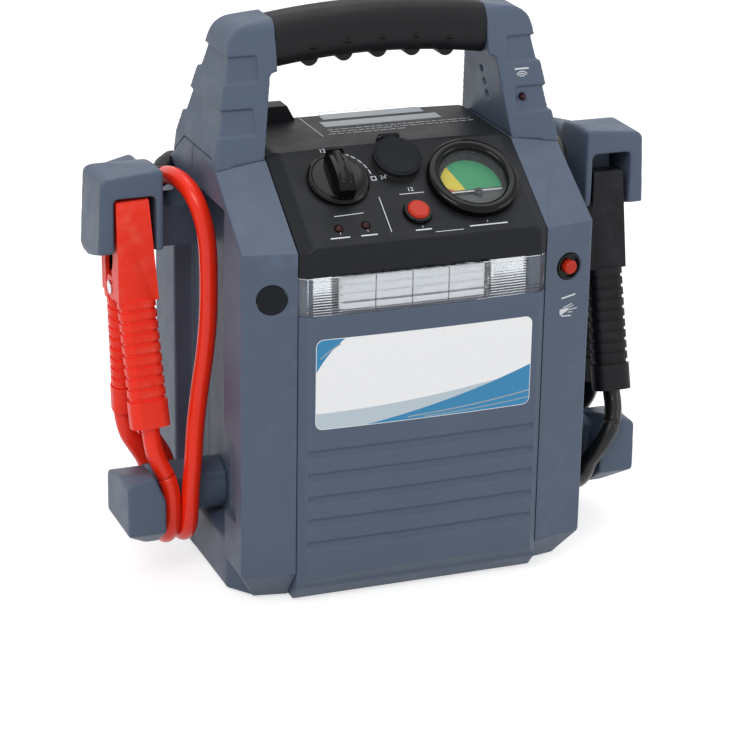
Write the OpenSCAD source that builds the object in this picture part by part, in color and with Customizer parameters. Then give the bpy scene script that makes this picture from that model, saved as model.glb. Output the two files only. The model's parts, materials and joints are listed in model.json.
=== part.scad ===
// Portable 12/24 V jump starter pack: a moulded housing with a carrying handle, a control panel,
// a work light, two side docks that hold the booster clamps, and two hooks that store the leads.
// Millimetres. X runs to the right seen from the front, Y to the back, Z up from the ground.
// Paired pieces are drawn on the +X side and mirrored.

/* [Housing] */
// Depth of the shells, front face to back face
body_depth = 200; // [190:1:230]
// Width across the shells
body_w = 241.6; // [236:0.4:270]
// Width of the centre panels between the side strips
panel_w = 171.2; // [166:0.4:176]
// Height of the edge where the front starts to slope back
shoulder_z = 243.6; // [236:0.2:252]
// Height of the flat deck on top of the shells
deck_z = 287.3; // [280:0.1:294]
// Level distance from the front face to the deck edge
slope_run = 63.1; // [56:0.1:70]
// How far the outer end of a side strip is swept back
strip_sweep = 6.5; // [0:0.5:9]
// Wall of the moulded shells
wall = 3; // [2.5:0.1:3.5]
// Height of the rubber feet
foot_h = 2; // [1.5:0.5:4]
// Depth of the cord recess in each side
pocket_depth = 12; // [8:0.5:13]
// Distance of the shell joint behind the middle of the housing
parting_y = 10; // [6:1:14]

/* [Front] */
// How far the centre panels stand out from the strips
panel_proud = 4.6; // [3:0.1:6]
// Extra bulge of the centre panels in the middle
panel_bow = 2; // [0:0.25:3]
// Height of the work light's window
lens_h = 24.6; // [20:0.2:28]
// Number of grooves across the lower front
groove_count = 5; // [0:1:5]
// Height from one groove to the next
groove_pitch = 16; // [12:0.5:16]
// Depth of a groove
groove_depth = 1.8; // [0.8:0.1:2]

/* [Controls] */
// Radius of the ring round the battery selector
selector_r = 20.5; // [18:0.5:22]
// Bore radius of the 12 V socket
socket_bore_r = 10.5; // [10.4:0.05:10.8]
// Radius of the socket's lid
socket_cap_r = 16; // [15.5:0.25:17]
// Outer radius of the meter's bezel
meter_r = 30.5; // [28:0.5:32]
// Radius of the test button
test_button_r = 7.2; // [6:0.1:7.6]
// Radius of the work light button
light_button_r = 4.6; // [4.5:0.1:6.5]
// Travel of both buttons
button_travel = 2.5; // [1.5:0.1:3]
// Running clearance round buttons, pins and the knob's shaft
running_gap = 0.08; // [0.05:0.01:0.1]

/* [Handle] */
// Height of the top of the handle at its middle
handle_top_z = 378; // [374:0.5:390]
// Length of the rubber grip
grip_len = 146.4; // [140:0.4:150]
// Depth of the grip, front to back
grip_depth = 35; // [30:0.5:38]
// Height of the grip's section
grip_h = 33; // [28:0.5:34]
// Rise of the grip's arch from end to middle
grip_rise = 5.5; // [0:0.5:8]
// Radius of the metal bar inside the grip
bar_r = 7.5; // [6:0.25:9]

/* [Docks and hooks] */
// Inner side of a dock, from the middle of the housing
dock_in = 149; // [147:0.5:152]
// Outer side of a dock, from the middle of the housing
dock_out = 193; // [190:0.5:198]
// Depth of a dock
dock_depth = 44; // [43:0.5:48]
// Width of the slot that takes a clamp
slot_w = 28; // [27.5:0.5:29]
// Inner side of a hook's head, from the middle of the housing
hook_in = 157; // [157:0.5:160]
// Width of a hook's head
hook_w = 26; // [22:0.5:30]

/* [Clamps and leads] */
// Outer diameter of the booster leads
lead_d = 12; // [10:0.5:12]
// Width of a clamp's cover at its tip
clamp_tip_w = 21.6; // [20:0.2:22]
// Width of a clamp's cover at its pivot
clamp_w = 27; // [26:0.2:27]
// Radius of the clamp's pivot pin
clamp_pin_r = 3; // [2.5:0.25:3.5]
// Curls of the clamp's spring
spring_curls = 5; // [3:1:5]
// Wire diameter of the clamp's spring
spring_wire = 1.6; // [1.2:0.1:1.7]

/* [Hidden] */
$fn = 64;
far = 400;              // longer than any piece, for cutting slabs
seat_gap = 0.3;         // clearance between a loose piece and its seat
fit_gap = 0.15;         // clearance between a fixed insert and its hole

half_d = body_depth / 2;
half_w = body_w / 2;
panel_hw = panel_w / 2;
base_z = foot_h;
chamfer_d = 16;         // bottom front and rear chamfer, level
chamfer_h = 20.7;       // and upright
corner_w = 12.8;        // bottom corner chamfer of the sides, level
corner_h = 22;          // and upright
corner_y = half_d - 39.5; // the sides stand full width to the base between these
corner_turn = 36;       // turn of the faces that end them
top_taper = 1.5;        // how much narrower each side is at the deck
slope_a = atan2(deck_z - shoulder_z, slope_run);
slope_len = norm([deck_z - shoulder_z, slope_run]);
chamfer_a = atan2(chamfer_h, chamfer_d);
strip_w = half_w - panel_hw;
sweep_a = atan2(strip_sweep, strip_w);
lip_w = 11.6;           // width of the seat behind the centre panels
tongue = 6;             // length of the rear shell's tongue
tongue_t = 1.5;         // its thickness
slate = [0.33, 0.38, 0.45];
slate_light = [0.36, 0.42, 0.49];
coal = [0.15, 0.16, 0.17];
red = [0.90, 0.18, 0.12];
steel = [0.72, 0.73, 0.75];
copper = [0.72, 0.45, 0.28];

// ---------------------------------------------------------------- helpers

function unit(v) = v / norm(v);

// Points of an outline whose corners [x, y, r] are rounded by radius r.
function rounded(pts, steps = 5) = [
  for (k = [0 : len(pts) - 1])
    let (
      n = len(pts),
      p = [pts[k].x, pts[k].y],
      a = unit([pts[(k + n - 1) % n].x, pts[(k + n - 1) % n].y] - p),
      b = unit([pts[(k + 1) % n].x, pts[(k + 1) % n].y] - p),
      r = pts[k].z,
      half = acos(a * b) / 2,
      mid = p + unit(a + b) * r / sin(half),
      start = p + a * r / tan(half) - mid,
      a0 = atan2(start.y, start.x),
      turn = (a.x * b.y - a.y * b.x > 0 ? -1 : 1) * (180 - 2 * half)
    )
    each r == 0 ? [p] : [for (i = [0 : steps]) mid + r * [cos(a0 + turn * i / steps), sin(a0 + turn * i / steps)]]
];

// Extrudes an outline drawn in (Y, Z) along +X.
module along_x(x0, x1) {
  translate([x0, 0, 0]) rotate([90, 0, 90]) linear_extrude(x1 - x0) children();
}

// Extrudes an outline drawn in (X, Z) along Y.
module along_y(y0, y1) {
  translate([0, y1, 0]) rotate([90, 0, 0]) linear_extrude(y1 - y0) children();
}

// Places a piece on the +X side, or mirrors it to the -X side.
module on_side(s) {
  if (s < 0) mirror([1, 0, 0]) children();
  else children();
}

// A slab between two Y values.
module slab_y(y0, y1) {
  translate([-far, y0, -far]) cube([2 * far, y1 - y0, 2 * far]);
}

// A slab between two Z values.
module slab_z(z0, z1) {
  translate([-far, -far, z0]) cube([2 * far, 2 * far, z1 - z0]);
}

// A slab between two X values.
module slab_x(x0, x1) {
  translate([x0, -far, -far]) cube([x1 - x0, 2 * far, 2 * far]);
}

module rounded_rect(w, h, r) {
  square([w - 2 * r, h], center = true);
  square([w, h - 2 * r], center = true);
  for (x = [-1, 1], y = [-1, 1]) translate([x * (w / 2 - r), y * (h / 2 - r)]) circle(r);
}

// Frame of the sloped control face: u to the right, v up the slope, w outwards.
module on_slope(u, v, w = 0) {
  translate([0, -half_d, shoulder_z]) rotate([slope_a, 0, 0]) translate([u, v, w]) children();
}

// Frame of the right strip's front face at height z: local z points outwards.
module on_strip(x, z) {
  translate([panel_hw, -half_d, z]) rotate([0, 0, sweep_a])
    translate([(x - panel_hw) / cos(sweep_a), 0, 0]) rotate([90, 0, 0]) children();
}

// ---------------------------------------------------------------- housing form

// Side outline of the housing, moved inwards by i.
function half_side(i) = [
  [half_d - chamfer_d - i * (1 - cos(chamfer_a)) / sin(chamfer_a), base_z + i],
  [half_d - i, base_z + chamfer_h + i * (1 - sin(chamfer_a)) / cos(chamfer_a)],
  [half_d - i, shoulder_z - i * (1 - sin(slope_a)) / cos(slope_a)],
  [half_d - slope_run - i * (1 - cos(slope_a)) / sin(slope_a), deck_z - i]
];
function side_points(i) = concat(half_side(i), [for (k = [3 : -1 : 0]) [-half_side(i)[k].x, half_side(i)[k].y]]);

// Half of the front outline of the housing, moved inwards by i.
function half_width(i) = [
  [half_w - corner_w - i - 1, base_z - 1], [half_w - corner_w - i, base_z],
  [half_w - i, base_z + corner_h], [half_w - i, shoulder_z], [half_w - top_taper - i, deck_z + 1]
];
function width_points(i) = concat(half_width(i), [for (k = [4 : -1 : 0]) [-half_width(i)[k].x, half_width(i)[k].y]]);

// The part of the sides that stands full width down to the base.
module side_foot(i) {
  y = corner_y - i * (1 - cos(corner_turn)) / sin(corner_turn);
  end_y = y + corner_w / tan(corner_turn);
  translate([0, 0, base_z - 1]) linear_extrude(2 * corner_h) polygon([
    [-half_w + i, -y], [-half_w + i + corner_w, -end_y], [half_w - i - corner_w, -end_y], [half_w - i, -y],
    [half_w - i, y], [half_w - i - corner_w, end_y], [-half_w + i + corner_w, end_y], [-half_w + i, y]
  ]);
}

module centre_form(i, x0, x1) {
  along_x(x0, x1) polygon(side_points(i));
}

// Front faces of the right strip, swept back from the edge of the centre panels, with all behind them.
module swept_front(i) {
  p = half_side(i);
  low = 2 * p[0] - p[1];
  high = 2 * p[3] - p[2];
  translate([panel_hw, -half_d, 0]) rotate([0, 0, sweep_a]) translate([-panel_hw, half_d, 0])
    along_x(-far, far) polygon([
      [far, low.y], [-low.x, low.y], [-p[1].x, p[1].y], [-p[2].x, p[2].y], [-high.x, high.y], [far, high.y]
    ]);
}

// The outer form of all shells, moved inwards by i, before the recesses.
module strip_form(i) {
  intersection() {
    centre_form(i, -far, far);
    union() {
      along_y(-far, far) polygon(width_points(i));
      side_foot(i);
    }
    swept_front(i);
    mirror([1, 0, 0]) swept_front(i);
    mirror([0, 1, 0]) swept_front(i);
    mirror([1, 0, 0]) mirror([0, 1, 0]) swept_front(i);
  }
}

pocket_x = half_w - pocket_depth;
pocket_y0 = -half_d + 42;
pocket_y1 = 50;
pocket_z0 = 36;
pocket_z1 = 262;
pocket_draft = 4;
pocket_front_draft = 9;
scoop_depth = 4.5;
scoop_y = -half_d + 20;
scoop_z0 = 56;
scoop_z1 = 108;

// The recess in the right side and the shallow scoop in front of its foot, grown by g.
module pocket(g) {
  along_x(half_w - scoop_depth - g, half_w + 1) polygon([
    [scoop_y - g, scoop_z0 + 2 - g], [pocket_y0 + 12 + g, scoop_z0 - g], [pocket_y0 + 12 + g, scoop_z1 + 2 + g],
    [pocket_y0 + g, scoop_z1 + 3 + g], [scoop_y - g, scoop_z1 - 1 + g]
  ]);
  intersection() {
    linear_extrude(far) polygon([
      [pocket_x - g, pocket_y0 + pocket_front_draft - g], [half_w + 1, pocket_y0 - g],
      [half_w + 1, pocket_y1 + g], [pocket_x - g, pocket_y1 - pocket_draft + g]
    ]);
    along_y(-half_d, half_d) polygon([
      [pocket_x - g, pocket_z0 + pocket_draft - g], [half_w + 1, pocket_z0 - g],
      [half_w + 1, pocket_z1 + g], [pocket_x - g, pocket_z1 - pocket_draft + g]
    ]);
  }
}

// The outer form with its recesses, moved inwards by i.
module body_form(i) {
  difference() {
    strip_form(i);
    pocket(i);
    mirror([1, 0, 0]) pocket(i);
  }
}

module side_shell() {
  difference() {
    body_form(0);
    body_form(wall);
    slab_x(-far, panel_hw);
    slab_y(parting_y, far);
  }
  // seat behind the centre panels
  difference() {
    strip_form(wall);
    strip_form(2 * wall);
    slab_x(-far, panel_hw - lip_w);
    slab_x(panel_hw + wall, far);
    slab_y(parting_y - tongue - seat_gap, far);
  }
}

// Holes in the seat's floor for the base plate's screws.
module screw_bores() {
  for (p = screw_at) translate([p.x, p.y, base_z + wall - 1]) cylinder(r = screw_r, h = wall + 2);
}

module left_side_shell() {
  color(slate) mirror([1, 0, 0]) difference() {
    side_shell();
    screw_bores();
    on_strip(jack_x, jack_z) translate([0, 0, -wall * 2]) cylinder(r = jack_cap_r + fit_gap, h = wall * 3);
  }
}

module right_side_shell() {
  color(slate) difference() {
    side_shell();
    screw_bores();
    on_strip(light_x, light_z) translate([0, 0, -wall * 2]) cylinder(r = light_bezel_r, h = wall * 3);
  }
}

module rear_shell() {
  color(slate) {
    difference() {
      union() {
        intersection() {
          body_form(0);
          slab_y(parting_y, far);
        }
        rear_bulge(0);
      }
      intersection() {
        union() {
          body_form(wall);
          rear_bulge(wall);
        }
        slab_y(parting_y - 1, far);
      }
      for (s = [-1, 1]) on_side(s) gland_place() translate([0, 0, -gland_len]) cylinder(r = gland_r + running_gap, h = 2 * gland_len);
      rear_grooves();
    }
    // tongue that enters the front shells
    intersection() {
      difference() {
        body_form(wall);
        body_form(wall + tongue_t);
      }
      slab_y(parting_y - tongue, parting_y + wall);
      slab_z(base_z + 2 * wall, deck_z - 2 * wall);
    }
  }
}

bulge_z0 = 30;
bulge_z1 = 228;

// The proud field of the rear shell, moved inwards by i.
module rear_bulge(i) {
  intersection() {
    mirror([0, 1, 0]) linear_extrude(far) polygon(front_plan(i));
    slab_z(bulge_z0 + i, bulge_z1 - i);
    slab_y(half_d - wall - 1, far);
  }
}

module rear_grooves() {
  for (k = [0 : groove_count - 1]) mirror([0, 1, 0]) panel_groove(groove_z + k * groove_pitch);
}

module base_plate() {
  color(coal) difference() {
    translate([-panel_hw + 2 * seat_gap, -half_d + chamfer_d + 1, base_z])
      cube([panel_w - 4 * seat_gap, half_d - chamfer_d - 1 + parting_y - seat_gap, wall]);
    for (x = [-4 : 4]) translate([x * 15 - 2, -30, base_z - 1]) cube([4, 34, wall + 2]);
    for (p = screw_at) translate([p.x, p.y, base_z - 1]) cylinder(r = screw_r, h = wall + 2);
    for (p = screw_at) translate([p.x, p.y, base_z - 1]) cylinder(r = screw_r + 2, h = 2.6);
  }
}

screw_r = 1.6;
screw_at = [for (x = [-1, 1], y = [-52, -28, -4]) [x * (panel_hw - 5), y]];

module housing_screws() {
  color(steel) for (p = screw_at) translate([p.x, p.y, base_z]) difference() {
    union() {
      cylinder(r = screw_r + 1.8, h = 1.6);
      cylinder(r = screw_r - 0.05, h = 2 * wall);
    }
    translate([-2, -0.4, -1]) cube([4, 0.8, 1.6]);
    translate([-0.4, -2, -1]) cube([0.8, 4, 1.6]);
  }
}

module rubber_feet() {
  color([0.1, 0.1, 0.1]) for (x = [-1, 1], y = [-1, 1])
    translate([x * (panel_hw - 14), y * (half_d - chamfer_d - 14), 0]) cylinder(r = 9, h = foot_h);
}

// ---------------------------------------------------------------- centre panels

lens_z1 = shoulder_z - 16.8;
lens_z0 = lens_z1 - lens_h;
groove_z = 41;
groove_h = 6;
panel_bevel = 5.6;      // width of the bevel along each side of a centre panel

// Plan outline of the front panel and the lens, moved inwards by i, bowed in the middle.
function front_plan(i) = let (edge = panel_hw - 2 * seat_gap - i, face = panel_hw - panel_bevel - i / 2) concat(
  [[-edge, -half_d + wall + 1], [-edge, -half_d]],
  [for (k = [-5 : 5]) [face * k / 5, -half_d - panel_proud - panel_bow * (1 - pow(k / 5, 2)) + i]],
  [[edge, -half_d], [edge, -half_d + wall + 1]]
);

// The front panel's form, moved inwards by i.
module panel_form(i) {
  intersection() {
    linear_extrude(lens_z0 - seat_gap) polygon(front_plan(i));
    along_x(-far, far) polygon([
      [-half_d + wall + 2, base_z], [-half_d + chamfer_d / 2 + i, base_z], [-half_d - panel_proud - panel_bow - 4 + i, 28],
      [-half_d - panel_proud - panel_bow - 4 + i, far], [-half_d + wall + 2, far]
    ]);
  }
  // foot of the panel, under the bottom chamfer
  intersection() {
    along_x(-panel_hw + 2 * seat_gap + i, panel_hw - 2 * seat_gap - i) polygon([
      [-half_d + chamfer_d + 1 - seat_gap, base_z], [-half_d + chamfer_d / 2 + i, base_z],
      [-half_d - 1 + i, base_z + chamfer_h / 2], [-half_d + wall, base_z + chamfer_h + wall],
      [-half_d + chamfer_d + 1 - seat_gap, base_z + 2 * wall]
    ]);
    slab_z(base_z + i, far);
  }
}

// One groove of the lower front: a cut that follows the bow of the panel.
module panel_groove(z) {
  difference() {
    along_x(-panel_hw + panel_bevel + 1, panel_hw - panel_bevel - 1) polygon([
      [-half_d - panel_proud - panel_bow - 1, z + 0.6], [-half_d, z], [-half_d, z + groove_h - 1.4],
      [-half_d - panel_proud - panel_bow - 1, z + groove_h]
    ]);
    linear_extrude(far) polygon(front_plan(groove_depth));
  }
}

module front_panel() {
  color(slate) difference() {
    panel_form(0);
    centre_form(wall, -far, far);
    intersection() {
      panel_form(1.2 * wall);
      slab_x(-panel_hw + lip_w, panel_hw - lip_w);
      slab_y(-far, -half_d + wall + 1);
      slab_z(base_z + chamfer_h + wall, lens_z0 - 2 * wall);
    }
    for (k = [0 : groove_count - 1]) panel_groove(groove_z + k * groove_pitch);
  }
}

module work_light_lens() {
  color([0.9, 0.93, 0.95, 0.5]) intersection() {
    difference() {
      linear_extrude(far) polygon(front_plan(0));
      linear_extrude(far) polygon(front_plan(2.2));
      for (s = [-1, 1], k = [0 : 7]) translate([s * (panel_hw - 10 - 4 * k), -half_d - panel_proud + 2.5, 0])
        cylinder(r = 1.1, h = far, $fn = 16);
    }
    slab_z(lens_z0, lens_z1);
    slab_y(-far, -half_d + wall);
  }
}

cell_pitch = 24.5;
cell_count = 4;

module work_light_reflector() {
  hw = cell_pitch * cell_count / 2 + 2;
  color([0.85, 0.86, 0.88]) difference() {
    union() {
      translate([-hw, -half_d + 4, lens_z0 + 1]) cube([2 * hw, 16, lens_h - 2]);
      translate([-panel_hw + 3, -half_d + 2 * wall, lens_z0 - 3]) cube([panel_w - 6, 3, lens_h + 3]);
    }
    for (k = [0 : cell_count - 1]) translate([(k - (cell_count - 1) / 2) * cell_pitch, -half_d + 1.5, lens_z0 + lens_h / 2])
      intersection() {
        sphere(r = 14.6);
        cube([cell_pitch - 2, 40, lens_h - 4], center = true);
      }
    for (k = [0 : cell_count - 1]) translate([(k - (cell_count - 1) / 2) * cell_pitch, -half_d, lens_z0 + lens_h / 2])
      rotate([-90, 0, 0]) cylinder(r = 3, h = 30);
  }
}

module light_board() {
  w = cell_pitch * cell_count + 22;
  color([0.1, 0.35, 0.2]) {
    translate([-w / 2, -half_d + 20, lens_z0]) cube([w, 1.6, lens_h]);
    for (k = [0 : cell_count - 1]) translate([(k - (cell_count - 1) / 2) * cell_pitch, -half_d + 20, lens_z0 + lens_h / 2])
      rotate([90, 0, 0]) cylinder(r = 2.7, h = 6.5);
  }
}

raised = 5;             // height of the control face above the shell's slope
raised_z = deck_z + 4.7;
panel_side_bevel = 8.6; // width of the bevel along each side of the control face

// Form of the raised control panel, moved inwards by i.
module raised_form(i) {
  v_top = [-half_d + slope_run, deck_z];
  edge = panel_hw - 2 * seat_gap;
  n = [-sin(slope_a), cos(slope_a)];
  low = -half_d - panel_proud + i;
  p0 = [-half_d, shoulder_z] + n * (raised - i);
  low_z = p0.y + (low - p0.x) * tan(slope_a);
  top_y = p0.x + (raised_z - i - p0.y) / tan(slope_a);
  intersection() {
    along_x(-far, far) polygon([
      [low, lens_z1 + seat_gap + i], [low, low_z], [top_y, raised_z - i], [half_d - slope_run - i, raised_z - i],
      [half_d - slope_run - i, shoulder_z - wall], [-half_d + wall + 2, lens_z1 + seat_gap + i]
    ]);
    linear_extrude(far) polygon([
      [-edge + i, -half_d], [-edge + panel_bevel + i, -half_d - panel_proud],
      [edge - panel_bevel - i, -half_d - panel_proud], [edge - i, -half_d], [edge - i, half_d], [-edge + i, half_d]
    ]);
    on_slope(0, 0) along_y(-far, far) polygon([
      [-edge + i, -far], [-edge + i, 0], [-edge + panel_side_bevel + i, raised],
      [edge - panel_side_bevel - i, raised], [edge - i, 0], [edge - i, -far]
    ]);
    along_y(-far, far) polygon([
      [-edge + i, 0], [-edge + i, deck_z], [-edge + panel_bevel + i, raised_z - 0.8], [-edge / 2, raised_z],
      [edge / 2, raised_z], [edge - panel_bevel - i, raised_z - 0.8], [edge - i, deck_z], [edge - i, 0]
    ]);
  }
}

knob_at = [-45.5, 50];
socket_at = [-2, 62];
meter_at = [44, 40.5];
test_at = [-0.5, 19];
led_at = [[-56, 12.6], [-37.5, 13.2]];
led_r = 2.5;
meter_body_r = meter_r - 3.5;
socket_wall = 2.5;

module control_panel() {
  color(coal) cap_ears();
  color(coal) difference() {
    raised_form(0);
    intersection() {
      raised_form(wall);
      slab_x(-panel_hw + lip_w, panel_hw - lip_w);
    }
    intersection() {
      centre_form(wall, -far, far);
      slab_y(-far, parting_y);
    }
    intersection() {
      centre_form(0, -far, far);
      slab_y(parting_y - tongue - seat_gap, far);
    }
    on_slope(knob_at.x, knob_at.y, -raised) cylinder(r = selector_shaft_r + 1, h = 3 * raised);
    on_slope(socket_at.x, socket_at.y, -raised) cylinder(r = socket_bore_r + socket_wall + fit_gap, h = 3 * raised);
    on_slope(meter_at.x, meter_at.y, -raised) cylinder(r = meter_body_r + fit_gap, h = 3 * raised);
    on_slope(test_at.x, test_at.y, -raised) cylinder(r = test_button_r + 1.4 + fit_gap, h = 3 * raised);
    for (p = led_at) on_slope(p.x, p.y, -raised) cylinder(r = led_r + fit_gap, h = 3 * raised);
  }
}

// ---------------------------------------------------------------- handle

post_front_z0 = 287;
post_lean_front = 0.229;   // how far the front of a post leans back per mm of height
post_lean_rear = 0.365;    // and its rear leans forward
band_z = [302.5, 335];     // lower edges of the recessed bands
band_h = 16.5;
band_depth = 1.8;
grip_y = -2.5;
grip_end_z = handle_top_z - grip_rise - grip_h / 2;
bar_z = grip_end_z + 2;
post_top_z = grip_end_z + grip_h / 2 + 0.5;

// Right post as a solid, moved inwards by i on its front, outer and rear faces.
module post_form(i) {
  front_y = half_side(0)[3].x;
  foot_z = shoulder_z + 20;
  intersection() {
    along_y(-half_d, half_d) polygon(rounded([
      [panel_hw + seat_gap, foot_z, 0], [panel_hw + seat_gap, deck_z, 0],
      [grip_len / 2 + 5, grip_end_z - grip_h / 2, 3], [grip_len / 2, grip_end_z - grip_h / 2 + 1, 0],
      [grip_len / 2, post_top_z - i, 0], [grip_len / 2 + 30 - i, post_top_z - 4 - i, 15],
      [half_w - top_taper - i, deck_z, 0], [half_w - top_taper - i, foot_z, 0]
    ]));
    along_x(0, far) polygon(rounded([
      [-front_y - post_lean_front * (post_front_z0 - foot_z) + i, foot_z, 0],
      [-front_y + post_lean_front * (post_top_z + 1 - post_front_z0) + i, post_top_z + 1 - i, 11],
      [front_y + 11 - post_lean_rear * (post_top_z + 1 - post_front_z0) - i, post_top_z + 1 - i, 11],
      [front_y + 11 + post_lean_rear * (post_front_z0 - foot_z) - i, foot_z, 0]
    ]));
  }
}

module post() {
  difference() {
    post_form(0);
    body_form(0);
    // recessed bands on the front, outer and rear faces
    for (z = band_z) intersection() {
      difference() {
        slab_z(z, z + band_h);
        post_form(band_depth);
      }
      translate([panel_hw + 7.5 - (z - deck_z) * 0.14, -far, 0]) cube([far, 2 * far, far]);
    }
    difference() {
      post_form(2 * wall - 1);
      slab_z(post_top_z - 2 * wall, far);
      slab_x(0, panel_hw + wall + 1);
    }
    translate([0, grip_y, bar_z]) rotate([0, 90, 0]) cylinder(r = bar_r + running_gap, h = panel_hw + wall + 6.2);
  }
}

module left_post() {
  color(slate_light) mirror([1, 0, 0]) post();
}

buzzer_at = [1, 316];      // y and z of the buzzer's middle hole
buzzer_pitch = 8.3;
alert_at = [96, 312];      // x and z of the alert lamp

module right_post() {
  color(slate_light) difference() {
    post();
    for (k = [-1 : 1]) translate([panel_hw - 12, buzzer_at.x - k * 2.6, buzzer_at.y - k * buzzer_pitch])
      rotate([0, 90, 0]) cylinder(r = 2.4, h = 16);
    translate([alert_at.x, -half_d / 2, alert_at.y]) rotate([-90, 0, 0]) cylinder(r = 2.2, h = half_d / 2);
  }
}

module buzzer() {
  color([0.1, 0.1, 0.1]) translate([panel_hw + wall + 1, buzzer_at.x, buzzer_at.y])
    rotate([0, 90, 0]) cylinder(r = 10, h = 8);
}

module handle_bar() {
  reach = grip_len / 2 + 14;
  color(steel) translate([-reach, grip_y, bar_z]) rotate([0, 90, 0]) difference() {
    cylinder(r = bar_r, h = 2 * reach);
    translate([0, 0, -1]) cylinder(r = bar_r - 1.5, h = 2 * reach + 2);
  }
}

bump_pitch = 23.7;
bump_r = 6;

module handle_grip() {
  arch_r = (pow(grip_len / 2, 2) + pow(grip_rise, 2)) / (2 * grip_rise);
  spread = 2 * asin((grip_len / 2 + 6) / arch_r);
  color(coal) difference() {
    union() {
      intersection() {
        translate([0, grip_y, grip_end_z + grip_rise - arch_r]) rotate([90, 0, 0]) rotate([0, 0, 90 - spread / 2])
          rotate_extrude(angle = spread, $fn = 360) translate([arch_r, 0]) rounded_rect(grip_h, grip_depth, 12.5);
        slab_x(-grip_len / 2, grip_len / 2);
      }
      for (k = [-2 : 2]) translate([k * bump_pitch, grip_y, arch_z(k * bump_pitch, arch_r) - grip_h / 2 + bump_r - 3.2])
        rotate([90, 0, 0]) cylinder(r = bump_r, h = 20, center = true);
    }
    translate([-grip_len, grip_y, bar_z]) rotate([0, 90, 0]) cylinder(r = bar_r + running_gap, h = 2 * grip_len);
  }
}

function arch_z(x, arch_r) = grip_end_z + grip_rise - arch_r + sqrt(pow(arch_r, 2) - pow(x, 2));

module rear_lug() {
  x0 = -panel_hw + 13.6;
  y0 = half_d - slope_run;
  color(coal) difference() {
    along_y(y0 - 8, y0 + 6) polygon([
      [x0, deck_z - 10], [x0, deck_z + 15], [x0 + 24, deck_z + 15], [x0 + 30, deck_z + 4], [x0 + 30, deck_z - 10]
    ]);
    body_form(0);
    raised_form(0);
  }
}

// ---------------------------------------------------------------- docks, hooks and glands

slot_x0 = dock_in + 5;
slot_x1 = slot_x0 + slot_w;
slot_top = 264.5;
dock_back = 3.2;
dock_front_z = 228.5;      // underside of a dock at its front
dock_rear_z = 219;         // and at its rear
dock_top_z = 283;
web_t = 3;
bite_z = 240;               // height where the jaws bite the web
arm_y0 = parting_y + 1;
arm_y1 = pocket_y1 - pocket_draft - seat_gap;
arm_z1 = 247;

// Right dock with the slot for a clamp; pitch leans its web to suit the clamp.
module dock(pitch, web_y) {
  hd = dock_depth / 2;
  difference() {
    union() {
      dock_body();
      // arm to the rear shell
      along_y(arm_y0, arm_y1) polygon([
        [pocket_x, dock_rear_z], [dock_in + 1, dock_rear_z], [dock_in + 1, arm_z1], [pocket_x, arm_z1]
      ]);
      // gusset that carries the dock's back on the arm
      along_y(arm_y0, arm_y1) polygon(rounded([
        [dock_in, dock_rear_z, 0], [dock_in + 24, dock_rear_z, 0], [dock_in + 24, dock_top_z - 14, 8], [dock_in, dock_top_z - 8, 4]
      ]));
    }
    along_y(-far, hd - dock_back) polygon(rounded([
      [slot_x0, 0, 0], [slot_x0, slot_top, 3], [slot_x1, slot_top, 3], [slot_x1, 0, 0]
    ]));
  }
  // web that the jaws bite on
  intersection() {
    translate([slot_x0 + slot_w / 2, web_y, bite_z]) rotate([-pitch, 0, 0])
      translate([-slot_w / 2 + 5, -web_t / 2, -6]) cube([slot_w - 10, web_t, 40]);
    slab_z(0, slot_top + 1);
  }
}

module dock_body() {
  hd = dock_depth / 2;
  intersection() {
    along_y(-hd, hd) polygon(rounded([
      [dock_in, dock_rear_z - 5, 0], [dock_in, dock_top_z - 1, 3], [dock_out - 2.5, dock_top_z - 5, 6],
      [dock_out, dock_rear_z + 6, 4], [dock_out - 4, dock_rear_z - 5, 0]
    ]));
    along_x(0, far) polygon(rounded([
      [-hd, dock_front_z, 0], [-hd, dock_top_z + 1, 4], [hd, dock_top_z - 5, 8], [hd, dock_rear_z, 0],
      [hd / 2, dock_rear_z, 0]
    ]));
  }
}

module left_dock() {
  color(slate_light) mirror([1, 0, 0]) dock(0, 0);
}

module right_dock() {
  color(slate_light) dock(black_pitch, black_y);
}

loop_y = -12;              // middle of the leads' loop under a hook
loop_z = 58;
loop_r = 24;
neck_r = loop_r - lead_d / 2 - 0.6;
hook_top_z = 82;
hook_low_z = 33;

module hook() {
  y0 = -48.5;
  y1 = 3.5;
  // head
  intersection() {
    along_y(y0, y1) polygon(rounded([
      [hook_in, hook_low_z - 6, 0], [hook_in, hook_top_z - 18, 0], [hook_in + 8, hook_top_z, 2], [hook_in + hook_w, hook_top_z - 5, 5],
      [hook_in + hook_w, hook_low_z + 8, 4], [hook_in + hook_w - 16, hook_low_z - 5, 6]
    ]));
    along_x(0, far) polygon(rounded([
      [y0, hook_low_z + 8.5, 3], [y0 + 1, hook_top_z + 1, 3], [y1, hook_top_z - 12, 5], [y1, hook_low_z + 1, 4],
      [y0 + 20, hook_low_z - 6, 8]
    ]));
  }
  // neck that the leads hang under
  along_x(pocket_x, hook_in + 2) {
    translate([loop_y, loop_z]) circle(neck_r);
    translate([loop_y - neck_r + 1.5, loop_z]) square([2 * neck_r - 3, 13]);
  }
}

module left_hook() {
  color(slate_light) mirror([1, 0, 0]) hook();
}

module right_hook() {
  color(slate_light) hook();
}

gland_r = 9.5;
gland_len = 13;
gland_y = 62;
gland_z = 256.5;
gland_a = 53.13;           // turned forward from straight out
gland_tip = [half_w, gland_y, gland_z] + (gland_len + 1 + seat_gap) * [cos(gland_a), -sin(gland_a), 0];

// Frame of the right lead gland: local z runs out of the housing.
module gland_place() {
  translate([half_w, gland_y, gland_z]) rotate([0, 0, -gland_a]) rotate([0, 90, 0]) children();
}

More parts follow.
